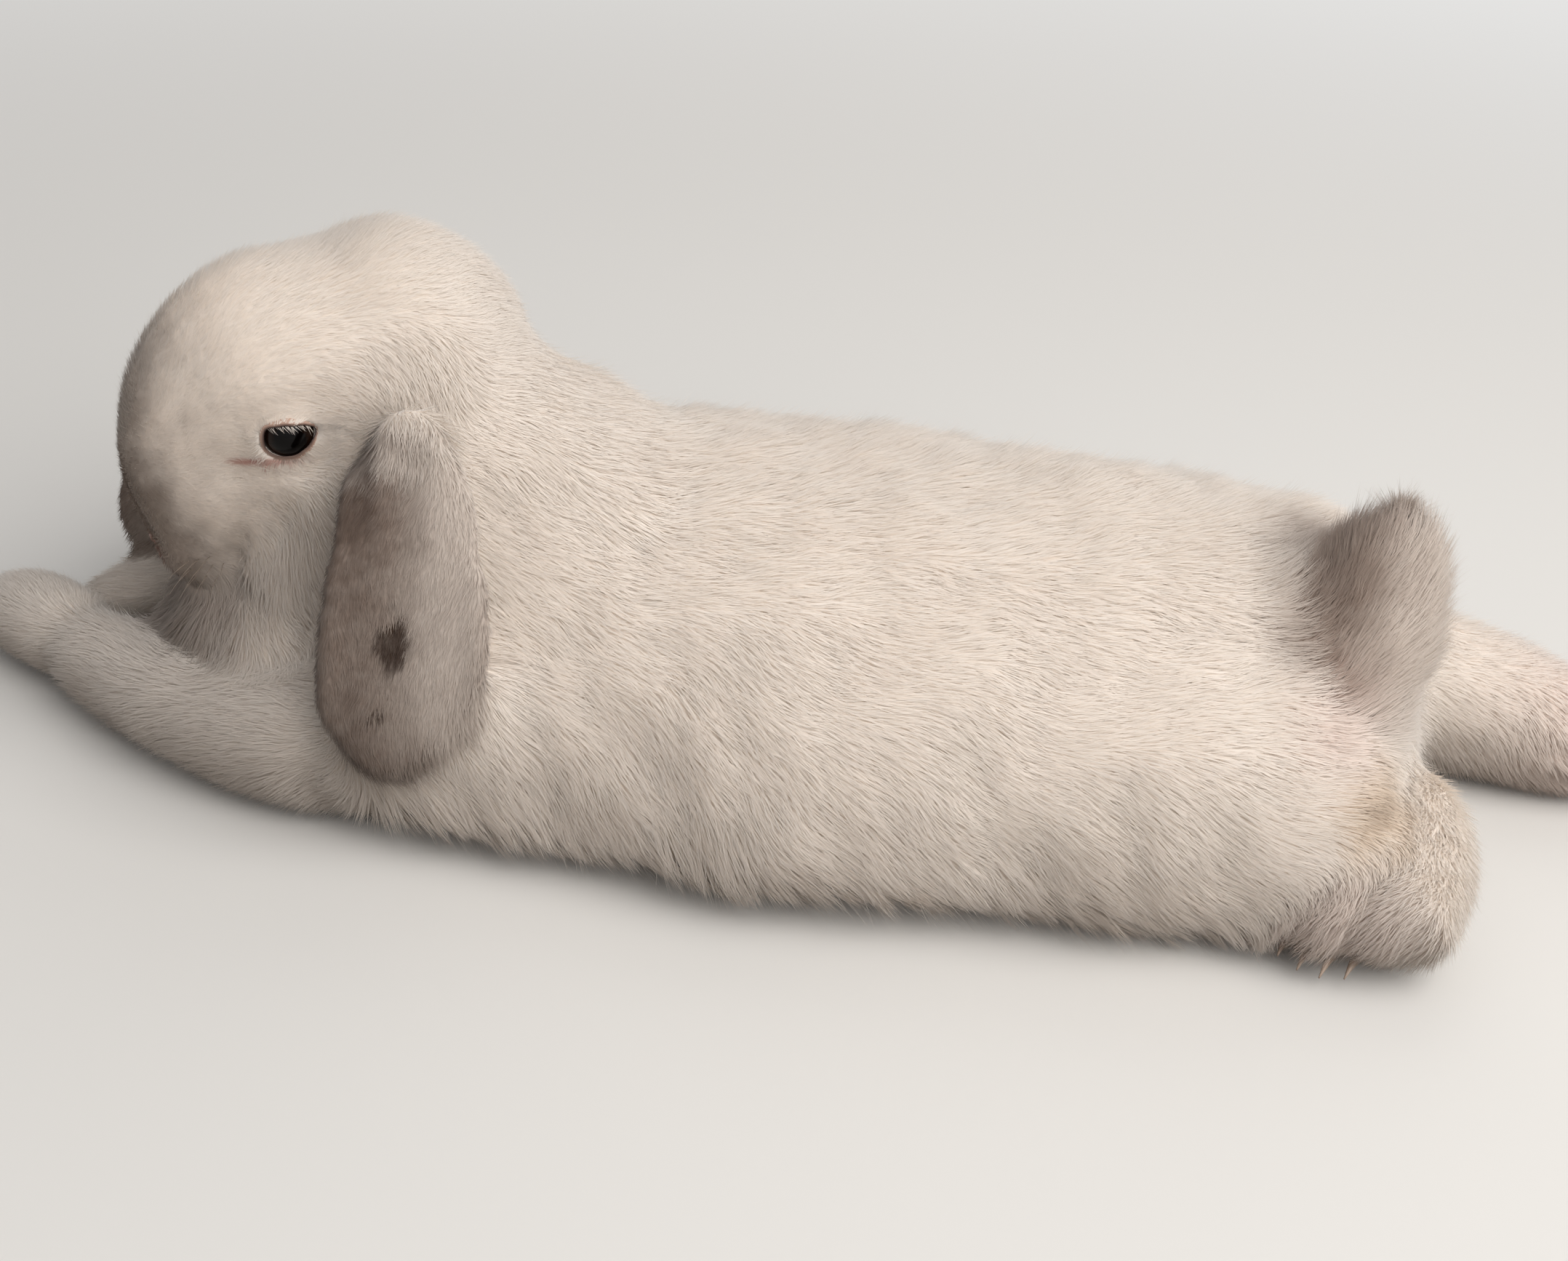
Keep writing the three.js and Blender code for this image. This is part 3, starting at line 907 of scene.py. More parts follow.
def scatterRoots(piece, density, seed):
    # random corners and shares of them, as many on each triangle as its area and density ask for
    piece.data.calc_loop_triangles()
    triangles = readArray(piece.data.loop_triangles, "vertices", 3, np.int32)
    points = coordsOf(piece)
    one, two, three = (points[triangles[:, k]] for k in range(3))
    area = np.linalg.norm(np.cross(two - one, three - one), axis=1) / 2
    wanted = area * density[triangles].mean(1)
    chance = np.random.default_rng(seed)
    number = np.floor(wanted + chance.random(len(wanted))).astype(int)
    face = np.repeat(np.arange(len(triangles)), number)
    first, second = chance.random(len(face)), chance.random(len(face))
    over = first + second > 1
    first[over], second[over] = 1 - first[over], 1 - second[over]
    return triangles[face], np.stack([1 - first - second, first, second], 1)


def tuftSizes(weights):
    return weights @ np.stack([regionValues(key) for key in ("length", "width", "lift")], 1)


noseSet = {
    "long": 0.0044,
    "wide": 0.0052,
    "tall": 0.0036,
    "proud": 0.0011,
    "above": 0.0012,         # the pad's middle over the skin's foremost point
    "nostril": 0.0013,
    "bareRound": (1.05, 0.80),
    "bareBack": (0.007, 0.004),
}
thinSet = {
    "floorHeight": (0.004, 0.0015),      # fewer tufts where the body rests on the floor
    "floorFacing": (-0.3, -0.75),
    "floorCut": 0.85,
    "roundEyes": (1.14, 1.26),
    "quick": 0.45,
    "normalRounds": 3,
    "sizeRounds": 26,
}


def skinGrowth(skin, weights, edges):
    # root, normal, lie, region weights and size of every tuft on the skin
    points = coordsOf(skin)
    normals = unit(spread(normalsOf(skin), edges, thinSet["normalRounds"]))
    lie = lieOfCoat(points, normals, weights, edges)
    onFloor = fade(*thinSet["floorHeight"], points[:, 2])
    onFloor = onFloor * fade(*thinSet["floorFacing"], normals[:, 2])
    density = weights @ regionValues("per") * 1e6 * (1 - thinSet["floorCut"] * onFloor)
    tip = noseTip(points)
    ahead, left, up = toHead(points).T
    above = up - tip[2] - noseSet["above"]
    fromNose = np.hypot(left / noseSet["wide"], above / noseSet["tall"])
    onNose = fade(*noseSet["bareRound"], fromNose) * fade(*noseSet["bareBack"], tip[0] - ahead)
    density = density * (1 - onNose)
    for side in sides:
        density = density * fade(*thinSet["roundEyes"], besideEye(side, points)[2])
    corners, shares = scatterRoots(skin, density, 7)
    sizes = tuftSizes(spread(weights, edges, thinSet["sizeRounds"]))
    root, normal, lie, weight, size = ((values[corners] * shares[:, :, None]).sum(1)
                                       for values in (points, normals, lie, weights, sizes))
    return root, unit(normal), unit(lie), weight, size


def headOnly(count):
    weights = np.zeros((count, len(regionNames)))
    weights[:, regionNames.index("head")] = 1
    return weights


def lidPlaces(side, angle, polar):
    # the lids' outer face, at an angle round the opening and an angle from the pupil
    centre, out, forward, upward = eyePlane[side]
    size = eyeSet["ball"] + lidSet["gap"]
    inner = np.arcsin(openingReach(angle) / size)
    share = (polar - inner) / (math.radians(lidSet["edge"]) - inner)
    share = np.clip(share, 0, 1) ** (1 / lidSet["crowding"])
    thick = 1 + lidSet["rollUpper"] * np.sin(angle)
    roll = lidSet["roll"] * bump(share, *lidSet["rollPlace"]) * thick
    lip = np.stack([np.sin(polar) * np.cos(angle), np.sin(polar) * np.sin(angle), np.cos(polar)], 1)
    return (lip * (size + roll)[:, None]) @ np.stack([forward, upward, out]) + centre


def lidGrowth(side):
    # short tufts over the lids, scattered evenly and thinned out towards the opening
    chance = np.random.default_rng(11)
    halfBall = 2 * math.pi * (eyeSet["ball"] + lidSet["gap"]) ** 2
    count = round(lidSet["per"] * 1e6 * halfBall)
    angle = chance.uniform(-math.pi, math.pi, count)
    points = lidPlaces(side, angle, np.arccos(chance.random(count)))
    openings = besideEye(side, points)[2]
    density = fade(*lidSet["tuftsFrom"], openings) * fade(*lidSet["tuftsTo"], openings)
    points = points[chance.random(count) < density]
    normals = unit(points - eyePlane[side][0])
    lie = flat(roundEyes(points, np.broadcast_to(-headAhead, points.shape)), normals)
    weights = headOnly(len(points))
    return points, normals, lie, weights, tuftSizes(weights)


# the long tufts at the edge of the upper lid
lashSet = {
    "count": 30,
    "length": 0.0031,
    "lengths": (0.4, 1.15),
    "width": 0.00020,
    "arc": (30, 158),        # degrees round the opening
    "reach": (1.02, 1.14),
    "lean": (0.55, 0.35, (0.1, 0.7)),    # outwards, down and back
}


def lashGrowth(side):
    centre, out, forward, upward = eyePlane[side]
    count = lashSet["count"]
    angle = np.radians(np.linspace(*lashSet["arc"], count)) + rng.normal(0, 0.03, count)
    reach = openingReach(angle) * rng.uniform(*lashSet["reach"], count)
    along, above = np.cos(angle) * reach, np.sin(angle) * reach
    ball = eyeSet["ball"] + lidSet["gap"]
    proud = np.sqrt(np.maximum(ball ** 2 - above ** 2 - along ** 2, 0))
    root = centre + along[:, None] * forward + above[:, None] * upward + proud[:, None] * out
    outwards, down, back = lashSet["lean"]
    lie = out * outwards - upward * down - forward * rng.uniform(*back, count)[:, None]
    weights = headOnly(count)
    return root, unit(root - centre), unit(lie), weights, tuftSizes(weights)


coatNoise = {
    "width": (0.8, 1.2),
    "length": (0.74, 1.16),
    "sway": 0.17,
    "broadSway": (0.22, 0.030, 3),       # strength, size and seed
    "fineSway": (0.13, 0.010, 5),
    "rise": 0.15,
    "broadRise": (0.16, 0.022, 9),
    "riseBetween": (4, 62),
    "locks": 42,             # tufts to one lock
    "lockReach": 0.8,        # of its length: how far a tuft may be drawn to its lock
    "bodyPull": 0.14,
    "tailPull": 0.10,
    "hemPull": 0.55,
    "strays": 0.10,          # share of thin tufts that stand out of the coat
    "strayRise": 0.35,
    "strayWidth": 0.55,
    "strayFrom": 0.004,
    "floor": (0.0005, 0.0006),
}
# where tufts are longer or shorter than their region's, and between which places
lengthSet = {
    "face": (-0.34, (-0.03, 0.03)),
    "muzzle": (-0.45, (0.016, 0.004)),
    "earRoot": (1.5, (0.26, 0.05)),
    "earRootLift": 0.7,
    "lids": (-0.55, (2.2, 1.1)),
    "claws": (0.30, (0.72, 0.95)),
    "tailTip": (0.35, (0.75, 1.0)),
    "hem": (0.40, (0.034, 0.012)),
    "hemFacing": (0.5, 0.0),
    "neckHem": 0.5,
}


def noiseOf(key, root):
    strength, size, seed = coatNoise[key]
    return strength * softNoise(root, size, seed)


def longer(key, place, column=1):
    strength, edge = lengthSet[key]
    return 1 + strength * fade(*edge, place) * column


def tuftTips(root, normal, lie, weight, size, lash, nose):
    count = len(root)
    column = columnsOf(weight)
    length, width, lift = size.T
    width = width * rng.uniform(*coatNoise["width"], count)
    lift = np.radians(lift)
    ahead = toHead(root)[:, 0]
    length = length * longer("face", ahead, column["head"])
    length = length * longer("muzzle", nose[0] - ahead, column["head"])
    for name in earNames:
        along = alongLine(name, root)[0]
        base = column[name] * fade(*lengthSet["earRoot"][1], along)
        length = length * longer("earRoot", along, column[name])
        lift = lift * (1 + lengthSet["earRootLift"] * base)
    for side in sides:
        length = length * longer("lids", besideEye(side, root)[2])
    for name in pawNames:
        length = length * longer("claws", alongLine(name, root)[0], column[name])
    length = length * longer("tailTip", alongLine("tail", root)[0], column["tail"])
    body = column["trunk"] + column["thigh_left"] + column["thigh_right"]
    facing = fade(*lengthSet["hemFacing"], normal[:, 2])
    facing = facing * (body + lengthSet["neckHem"] * column["neck"])
    hem = fade(*lengthSet["hem"][1], root[:, 2]) * facing
    length = length * longer("hem", root[:, 2], facing)
    length = length * rng.uniform(*coatNoise["length"], count)
    sway = noiseOf("broadSway", root) + noiseOf("fineSway", root)
    sway = sway + rng.normal(0, coatNoise["sway"], count)
    rise = lift * (1 + noiseOf("broadRise", root) + rng.normal(0, coatNoise["rise"], count))
    stray = (rng.random(count) < coatNoise["strays"]) & (size[:, 0] > coatNoise["strayFrom"])
    rise = np.clip(rise + coatNoise["strayRise"] * stray, *np.radians(coatNoise["riseBetween"]))
    width = width * np.where(stray, coatNoise["strayWidth"], 1)
    heading = unit(lie + np.cross(normal, lie) * sway[:, None])
    reach = heading * np.cos(rise)[:, None] + normal * np.sin(rise)[:, None]
    width = np.where(lash, lashSet["width"], width)
    lashes = lashSet["length"] * rng.uniform(*lashSet["lengths"], count)
    length = np.where(lash, lashes, length)
    reach[lash] = lie[lash]
    tip = root + reach * length[:, None]
    pull = coatNoise["bodyPull"] * (body + column["neck"])
    pull = pull + (coatNoise["hemPull"] - coatNoise["bodyPull"]) * hem
    pull = np.where(lash | stray, 0, pull + coatNoise["tailPull"] * column["tail"])
    tip = gatherLocks(root, tip, pull, length)
    lowest, above = coatNoise["floor"]
    under = tip[:, 2] < lowest
    tip[under, 2] = lowest + rng.uniform(0, above, under.sum())
    return tip, width


def gatherLocks(root, tip, pull, length):
    # each tuft leans towards the tip of its lock's middle tuft
    middles = rng.choice(len(root), len(root) // coatNoise["locks"], replace=False)
    tree = KDTree(len(middles))
    for number, index in enumerate(middles):
        tree.insert(root[index], number)
    tree.balance()
    nearest = [tree.find(point)[1] for point in root]
    lean = tip[middles[nearest]] - tip
    near = np.linalg.norm(lean, axis=1) < coatNoise["lockReach"] * length
    return tip + lean * (pull * near)[:, None]


tuftSet = {
    "turn": 0.4,             # radians each tuft is turned round its own length at most
    "below": 0.15,           # the spike's corners, as shares of half its width
    "above": 0.50,
    "normalLean": 0.07,
    "normalTip": 0.10,
    "ownShading": 0.06,
    "agree": 0.15,           # faces turned further from the skin's normal keep their own
    "sunk": 0.0003,          # roots lie this far under the skin
    "mapSize": 0.003,
}


def spikeMesh(name, roots, tips, across, rise, half):
    # each tuft is a closed three-sided spike, pressed flat
    count = len(roots)
    turn = rng.uniform(-tuftSet["turn"], tuftSet["turn"], count)[:, None]
    wide = (across * np.cos(turn) + rise * np.sin(turn)) * half
    tall = (rise * np.cos(turn) - across * np.sin(turn)) * half
    below, above = tall * tuftSet["below"], tall * tuftSet["above"]
    corners = np.stack([roots - wide - below, roots + wide - below, roots + above, tips], 1)
    pattern = np.array([[0, 3, 1], [1, 3, 2], [2, 3, 0], [0, 1, 2]])
    loops = (np.arange(count)[:, None, None] * 4 + pattern[None]).reshape(-1)
    mesh = bpy.data.meshes.new(name)
    mesh.vertices.add(count * 4)
    mesh.vertices.foreach_set("co", corners.ravel())
    mesh.loops.add(len(loops))
    mesh.loops.foreach_set("vertex_index", loops)
    mesh.polygons.add(count * 4)
    mesh.polygons.foreach_set("loop_start", np.arange(count * 4) * 3)
    mesh.polygons.foreach_set("use_smooth", np.ones(count * 4, bool))
    mesh.update(calc_edges=True)
    return mesh, loops, corners[:, pattern]


def buildTufts(name, roots, tips, normals, width, marks, patch):
    # the spikes' upper faces shade with the lie of the skin
    count = len(roots)
    reach = unit(tips - roots)
    across = unit(np.cross(reach, normals))
    rise = np.cross(across, reach)
    mesh, loops, faces = spikeMesh(name, roots, tips, across, rise, (width / 2)[:, None])
    own = unit(np.cross(faces[:, :, 1] - faces[:, :, 0], faces[:, :, 2] - faces[:, :, 0]))
    lean = rng.normal(0, tuftSet["normalLean"], (count, 1)) * across + tuftSet["normalTip"] * reach
    shared = unit(normals + lean)[:, None] * (1 - tuftSet["ownShading"])
    upper = unit(shared + own[:, 1:3] * tuftSet["ownShading"])
    agree = (upper * own[:, 1:3]).sum(-1, keepdims=True) > tuftSet["agree"]
    own[:, 1:3] = np.where(agree, upper, own[:, 1:3])
    mesh.normals_split_custom_set(np.repeat(own.reshape(-1, 3), 3, 0).tolist())
    layer = mesh.uv_layers.new(name="OFBake")
    corner = np.array([[-0.5, -0.5], [0.5, -0.5], [0, 0.0], [0, 0.5]]) * tuftSet["mapSize"]
    places = (patch[:, None, :] + corner[None]).reshape(-1, 2)
    layer.data.foreach_set("uv", places[loops].astype(np.float32).ravel())
    piece = bpy.data.objects.new(name, mesh)
    bpy.context.collection.objects.link(piece)
    for key, values in {**marks, "strand": rng.random(count)}.items():
        writeFloat(piece, key, np.repeat(values, 4))
    writeFloat(piece, "tipward", np.tile([0, 0, 0, 1.0], count))
    return piece


# which regions each piece of the coat covers
coatSet = {
    "coat_body": ("coat_cream", "trunk", "thigh_left", "thigh_right"),
    "coat_head": ("coat_cream", "head", "neck"),
    "coat_legs": ("coat_cream", "foreleg_left", "foreleg_right", "forepaw_left", "forepaw_right"),
    "coat_feet": ("coat_cream", "hind_foot_left", "hind_foot_right"),
    "coat_ears": ("coat_fawn", "ear_left", "ear_right", "tail"),
}
mostTufts = 46000            # in one piece
mapEdge = 0.004


def coatPatches(root, owner, regions):
    # every region gets its own strip of the piece's map: a cylinder unwrapped round its length
    patch = np.zeros((len(root), 2))
    start = 0.0
    for region in regions:
        own = owner == regionNames.index(region)
        if not own.any():
            continue
        share = np.count_nonzero(own) / len(owner)
        along = lines[region]["along"] if region in lines else np.array((1.0, 0, 0))
        away = root[own] - root[own].mean(0)
        length = away @ along
        side = unit(np.cross(along, (0.03, 0.02, 1.0)))
        angle = np.arctan2(away @ side, away @ np.cross(side, along)) / (2 * math.pi) + 0.5
        reach = (length - length.min()) / max(np.ptp(length), 1e-6)
        patch[own] = mapEdge + np.stack([start + share * angle, reach], 1) * (1 - 2 * mapEdge)
        start += share
    return patch


def growCoat(skin, weights, edges, material):
    parts = [skinGrowth(skin, weights, edges)] + [lidGrowth(side) for side in sides]
    furred = sum(len(part[0]) for part in parts)
    parts += [lashGrowth(side) for side in sides]
    root, normal, lie, weight, size = (np.concatenate(each) for each in zip(*parts))
    print("tufts", len(root))
    nose = noseTip(coordsOf(skin))
    tip, width = tuftTips(root, normal, lie, weight, size, np.arange(len(root)) >= furred, nose)
    marks = markings(root, weight, nose)
    root = root - normal * tuftSet["sunk"]
    owner = weight.argmax(1)
    for name, (slot, *regions) in coatSet.items():
        chosen = np.flatnonzero(np.isin(owner, [regionNames.index(region) for region in regions]))
        order = chosen[np.argsort(root[chosen, 0], kind="stable")]
        picks = np.array_split(order, math.ceil(len(order) / mostTufts))
        for part, picked in enumerate(picks):
            piece = buildTufts(f"{name}_{part + 1}", root[picked], tip[picked], normal[picked],
                               width[picked], {key: value[picked] for key, value in marks.items()},
                               coatPatches(root[picked], owner[picked], regions))
            finishPiece(piece, material, slot)
            print(piece.name, len(piece.data.polygons), "triangles")


def linear(red, green, blue):
    return tuple((c / 255) ** 2.2 for c in (red, green, blue)) + (1.0,)


def newMaterial(name):
    material = bpy.data.materials.new(name)
    material.use_nodes = True
    return material, material.node_tree, material.node_tree.nodes["Principled BSDF"]


def feed(tree, node, inputs):
    # plain values are set on the node's sockets, and other nodes' sockets are linked to them
    for name, value in dict(inputs).items():
        if isinstance(value, bpy.types.NodeSocket):
            tree.links.new(value, node.inputs[name])
        else:
            node.inputs[name].default_value = value


def addNode(tree, kind, inputs=(), **settings):
    node = tree.nodes.new(f"ShaderNode{kind}")
    for name, value in settings.items():
        setattr(node, name, value)
    feed(tree, node, inputs)
    return node


def maths(tree, kind, *values):
    return addNode(tree, "Math", enumerate(values), operation=kind).outputs[0]


def mixed(tree, factor, below, above, kind="MIX"):
    inputs = {0: factor, 6: below, 7: above}
    return addNode(tree, "Mix", inputs, data_type="RGBA", blend_type=kind).outputs[2]


def mark(tree, name):
    return addNode(tree, "Attribute", attribute_name=name).outputs["Fac"]


def objectPlace(tree):
    return addNode(tree, "TexCoord").outputs["Object"]


def noise(tree, scale, detail=2, roughness=0.5):
    return addNode(tree, "TexNoise", {"Vector": objectPlace(tree), "Scale": scale,
                                      "Detail": detail, "Roughness": roughness}).outputs[0]


def ranged(tree, value, low, high):
    return addNode(tree, "MapRange", {"Value": value, "To Min": low, "To Max": high}).outputs[0]


def grained(tree, height, distance):
    return addNode(tree, "Bump", {"Strength": 0.35, "Distance": distance,
                                  "Height": height}).outputs["Normal"]


def ramp(tree, factor, *stops):
    node = addNode(tree, "ValToRGB", {"Fac": factor})
    elements = node.color_ramp.elements
    for number, (place, colour) in enumerate(stops):
        stop = elements[number] if number < 2 else elements.new(place)
        stop.position = place
        stop.color = colour
    return node.outputs["Color"]


coatColours = {
    "cream": linear(245, 236, 226),
    "shadeCream": linear(232, 218, 205),
    "fawn": linear(158, 138, 125),
    "dark": linear(78, 63, 54),
    # the nose's dusky colour, also used as painted shade on brow, muzzle and throat
    "smut": linear(134, 116, 103),
    "pink": linear(196, 140, 126),
    "stain": linear(206, 172, 128),
}
mottle = 0.35                # how much of the cream is shaded


def coatGroup():
    # the coat's colour from its markings and painted shade, each broken up by noise, and a mottling
    # for bumps
    tree = bpy.data.node_groups.new("coatMarkings", "ShaderNodeTree")
    sockets = (("Mottle", "INPUT", "Float"), ("Colour", "OUTPUT", "Color"),
               ("Mottling", "OUTPUT", "Float"))
    for name, way, kind in sockets:
        tree.interface.new_socket(name, in_out=way, socket_type=f"NodeSocket{kind}")
    tree.interface.items_tree["Mottle"].default_value = mottle
    start, end = (tree.nodes.new(f"NodeGroup{way}") for way in ("Input", "Output"))
    patches, fleck = noise(tree, 38, 4, 0.6), noise(tree, 260, 3)
    colour = mixed(tree, maths(tree, "MULTIPLY", patches, start.outputs["Mottle"]),
                   coatColours["cream"], coatColours["shadeCream"])
    layers = (("stain",), ("smut", patches, 0.5, 0.72), ("fawn", fleck, 0.4, 0.80),
              ("dark", fleck, 0.5, 0.72), ("pink",))
    for name, *roughness in layers:
        factor = mark(tree, name)
        if roughness:
            factor = maths(tree, "MULTIPLY", factor, maths(tree, "MULTIPLY_ADD", *roughness))
        colour = mixed(tree, factor, colour, coatColours[name])
    feed(tree, end, {"Colour": colour, "Mottling": fleck})
    return tree


def skinMaterial(group):
    material, tree, shader = newMaterial("undercoat")
    marks = addNode(tree, "Group", node_tree=group).outputs
    feed(tree, shader, {"Roughness": 0.92, "Specular IOR Level": 0.15, "Sheen Weight": 0.15,
                        "Base Color": marks["Colour"],
                        "Normal": grained(tree, marks["Mottling"], 0.0006)})
    return material


def tuftMaterial(group):
    # tufts differ a little in lightness and are lighter towards their tips
    material, tree, shader = newMaterial("coatHair")
    marks = addNode(tree, "Group", node_tree=group).outputs
    lightness = maths(tree, "MULTIPLY_ADD", mark(tree, "strand"), 0.12, 0.91)
    lightness = maths(tree, "MULTIPLY_ADD", mark(tree, "tipward"), 0.07, lightness)
    feed(tree, shader, {"Roughness": 0.85, "Specular IOR Level": 0.18, "Sheen Weight": 0.25,
                        "Sheen Roughness": 0.6,
                        "Base Color": mixed(tree, 1.0, marks["Colour"], lightness, "MULTIPLY")})
    return material


def eyeMaterial():
    material, tree, shader = newMaterial("eyeGloss")
    blur = maths(tree, "MULTIPLY_ADD", noise(tree, 900), 0.10, mark(tree, "fromPupil"))
    iris = ramp(tree, blur, (0.34, (0.0015, 0.001, 0.001, 1)), (0.44, (0.016, 0.007, 0.004, 1)),
                (0.80, (0.004, 0.002, 0.002, 1)))
    feed(tree, shader, {"Roughness": 0.12, "Specular IOR Level": 0.14, "Base Color": iris})
    return material


def bareSkinMaterial(name, scale, light, dark, rim):
    # lids and nose: damp bare skin, darker where the attribute "rim" says: the lids' own dark
    # margins, and painted shade in the nose's nostrils and cleft
    material, tree, shader = newMaterial(name)
    grain = noise(tree, scale, 4)
    tone = mixed(tree, mark(tree, "rim"), mixed(tree, grain, light, dark), rim)
    feed(tree, shader, {"Subsurface Weight": 0.1, "Subsurface Radius": (0.002, 0.001, 0.0007),
                        "Subsurface Scale": 0.5, "Base Color": tone,
                        "Roughness": ranged(tree, grain, 0.36, 0.62),
                        "Normal": grained(tree, grain, 0.0003)})
    return material


def hornMaterial(name, dark, pale, roughness):
    # streaks run along the horn, paler where it thins
    material, tree, shader = newMaterial(name)
    grain = noise(tree, 420, 4)
    blend = maths(tree, "MULTIPLY_ADD", grain, 0.5, mark(tree, "tipward"))
    feed(tree, shader, {"Base Color": ramp(tree, blend, (0.25, dark), (1.0, pale)),
                        "Roughness": ranged(tree, grain, roughness - 0.08, roughness + 0.08)})
    return material


def addEye(side, material):
    centre, out, forward, upward = eyePlane[side]
    eye = newPiece(f"eyeball_{side}", bpy.ops.mesh.primitive_uv_sphere_add, segments=48,
                   ring_count=32, radius=eyeSet["ball"])
    coords = coordsOf(eye)
    fromPupil = np.arccos(np.clip(coords[:, 2] / eyeSet["ball"], -1, 1)) / (math.pi / 2)
    writeFloat(eye, "fromPupil", fromPupil)
    coords[:, 2] += eyeSet["cornea"] * fade(eyeSet["corneaEdge"], 0, fromPupil)
    setCoords(eye, coords @ np.stack([forward, upward, out]) + centre)
    pointOutward(eye)
    finishPiece(eye, material, "eye", f"eye_{side}")


def addLids(side, material):
    # a sphere cut open over the pupil and behind, drawn to the opening's outline
    size = eyeSet["ball"] + lidSet["gap"]
    lids = newPiece(f"lids_{side}", bpy.ops.mesh.primitive_uv_sphere_add, segments=96,
                    ring_count=48, radius=size)
    heights = readArray(lids.data.polygons, "center")[:, 2] / size
    low, high = lidSet["kept"]
    inEdit(lids, bpy.ops.mesh.delete, (heights < low) | (heights > high), type="FACE")
    x, y, z = coordsOf(lids).T
    angle, polar = np.arctan2(y, x), np.arccos(np.clip(z / size, -1, 1))
    share = (polar - polar.min()) / np.ptp(polar)
    inner = np.arcsin(openingReach(angle) / size)
    polar = inner + (math.radians(lidSet["edge"]) - inner) * share ** lidSet["crowding"]
    setCoords(lids, lidPlaces(side, angle, polar))
    below = fade(0.2, -0.6, np.sin(angle))
    writeFloat(lids, "rim", fade(*lidSet["rim"], share) * (1 - lidSet["paler"] * below))
    pointOutward(lids)
    face = lids.data.polygons[0]
    if (np.array(face.center) - eyePlane[side][0]) @ np.array(face.normal) < 0:
        lids.data.flip_normals()
    applyModifier(lids, "SOLIDIFY", thickness=lidSet["wall"], offset=-1)
    applyModifier(lids, "SUBSURF", levels=1, render_levels=1)
    finishPiece(lids, material, "coat_cream")


padSet = {
    "narrow": (0.62, 0.38, (-0.9, 0.5)),
    "slit": (0.36, 0.30, 0.25, 0.085),   # the nostril's place, slant, bend and width
    "slitFrom": (-0.75, -0.45),
    "slitTo": (0.62, 0.35),
    "cleft": 0.07,
    "cleftTop": (0.05, -0.35),
    "cleftDeep": 0.7,
    "cleftDark": 0.8,
    "front": (0.1, 0.4),
}


def addNose(skin, material):
    # a small pad, wide above and narrow below, with two slanting nostrils and a cleft, both
    # painted dark as shade in their hollows
    tip = noseTip(coordsOf(skin))
    nose = newPiece("nosePad", bpy.ops.mesh.primitive_uv_sphere_add, segments=56, ring_count=40,
                    radius=1)
    ahead, left, up = coordsOf(nose).T
    side, front = np.abs(left), fade(*padSet["front"], ahead)
    least, more, edge = padSet["narrow"]
    narrow = least + more * fade(*edge, up)
    middle, slant, bend, width = padSet["slit"]
    slit = bump(side, middle + slant * up + bend * up ** 2, width) * front
    slit = slit * fade(*padSet["slitFrom"], up) * fade(*padSet["slitTo"], up)
    cleft = bump(side, 0, padSet["cleft"]) * fade(*padSet["cleftTop"], up) * front
    cut = noseSet["nostril"] * np.maximum(slit, padSet["cleftDeep"] * cleft)
    shaped = np.stack([ahead * noseSet["long"] - cut, left * narrow * noseSet["wide"],
                       up * noseSet["tall"]], 1)
    middle = (tip[0] + noseSet["proud"] - noseSet["long"], 0, tip[2] + noseSet["above"])
    setCoords(nose, fromHead(shaped + np.array(middle)))
    # the nostrils and the cleft are painted dark: painted shade in their hollows
    writeFloat(nose, "rim", np.clip(slit + padSet["cleftDark"] * cleft, 0, 1))
    pointOutward(nose)
    finishPiece(nose, material, "coat_cream")


whiskerSet = {
    # behind the nose tip, above it, and how many in the row
    "rows": ((0.0065, -0.0020, 3), (0.0060, -0.0048, 4), (0.0060, -0.0076, 3)),
    "spacing": 0.0030,
    "outside": 0.026,        # from where each root is looked for on the skin
    "longest": 0.023,
    "lengths": (0.62, 0.10, (0.88, 1.0)),
    "aim": (0.80, (0.60, -0.16), (0.42, 30)),
    "droop": 0.14,
    "sunk": 0.001,
    "base": 0.00013,
    "tip": 0.0000156,
    "sides": 5,
    "steps": 9,
}


def addWhiskers(skin, material):
    # one tapered hair, cut along its length and bent, copied for every root on the whisker pads
    tip = noseTip(coordsOf(skin))
    tree = BVHTree.FromObject(skin, bpy.context.evaluated_depsgraph_get())
    hair = taperedRod("whisker", whiskerSet)
    x, y, share = coordsOf(hair).T[:, :, None]
    droop = unit(-headAhead * 0.5 - headUp)
    least, more, spreadOut = whiskerSet["lengths"]
    aside, (forward, fan), (upward, lift) = whiskerSet["aim"]
    for side, sign in sides.items():
        copies = []
        for back, below, count in whiskerSet["rows"]:
            for number in range(count):
                ahead = tip[0] - back - number * whiskerSet["spacing"]
                start = Vector(fromHead((ahead, sign * whiskerSet["outside"], tip[2] + below)))
                root = np.array(tree.ray_cast(start, Vector(-headLeft * sign))[0])
                length = whiskerSet["longest"] * (least + more * number) * rng.uniform(*spreadOut)
                aim = unit(headLeft * sign * aside + headAhead * (forward + fan * number)
                           + headUp * (upward + lift * below))
                across = unit(np.cross(aim, droop))
                spine = root + aim * (share * length - whiskerSet["sunk"])
                spine = spine + droop * whiskerSet["droop"] * length * share ** 2
                copies.append(copyOf(hair))
                setCoords(copies[-1], spine + across * x + np.cross(across, aim) * y)
        whiskers = joined(copies, f"whiskers_{side}")
        pointOutward(whiskers)
        finishPiece(whiskers, material, "coat_cream")
    bpy.data.objects.remove(hair)


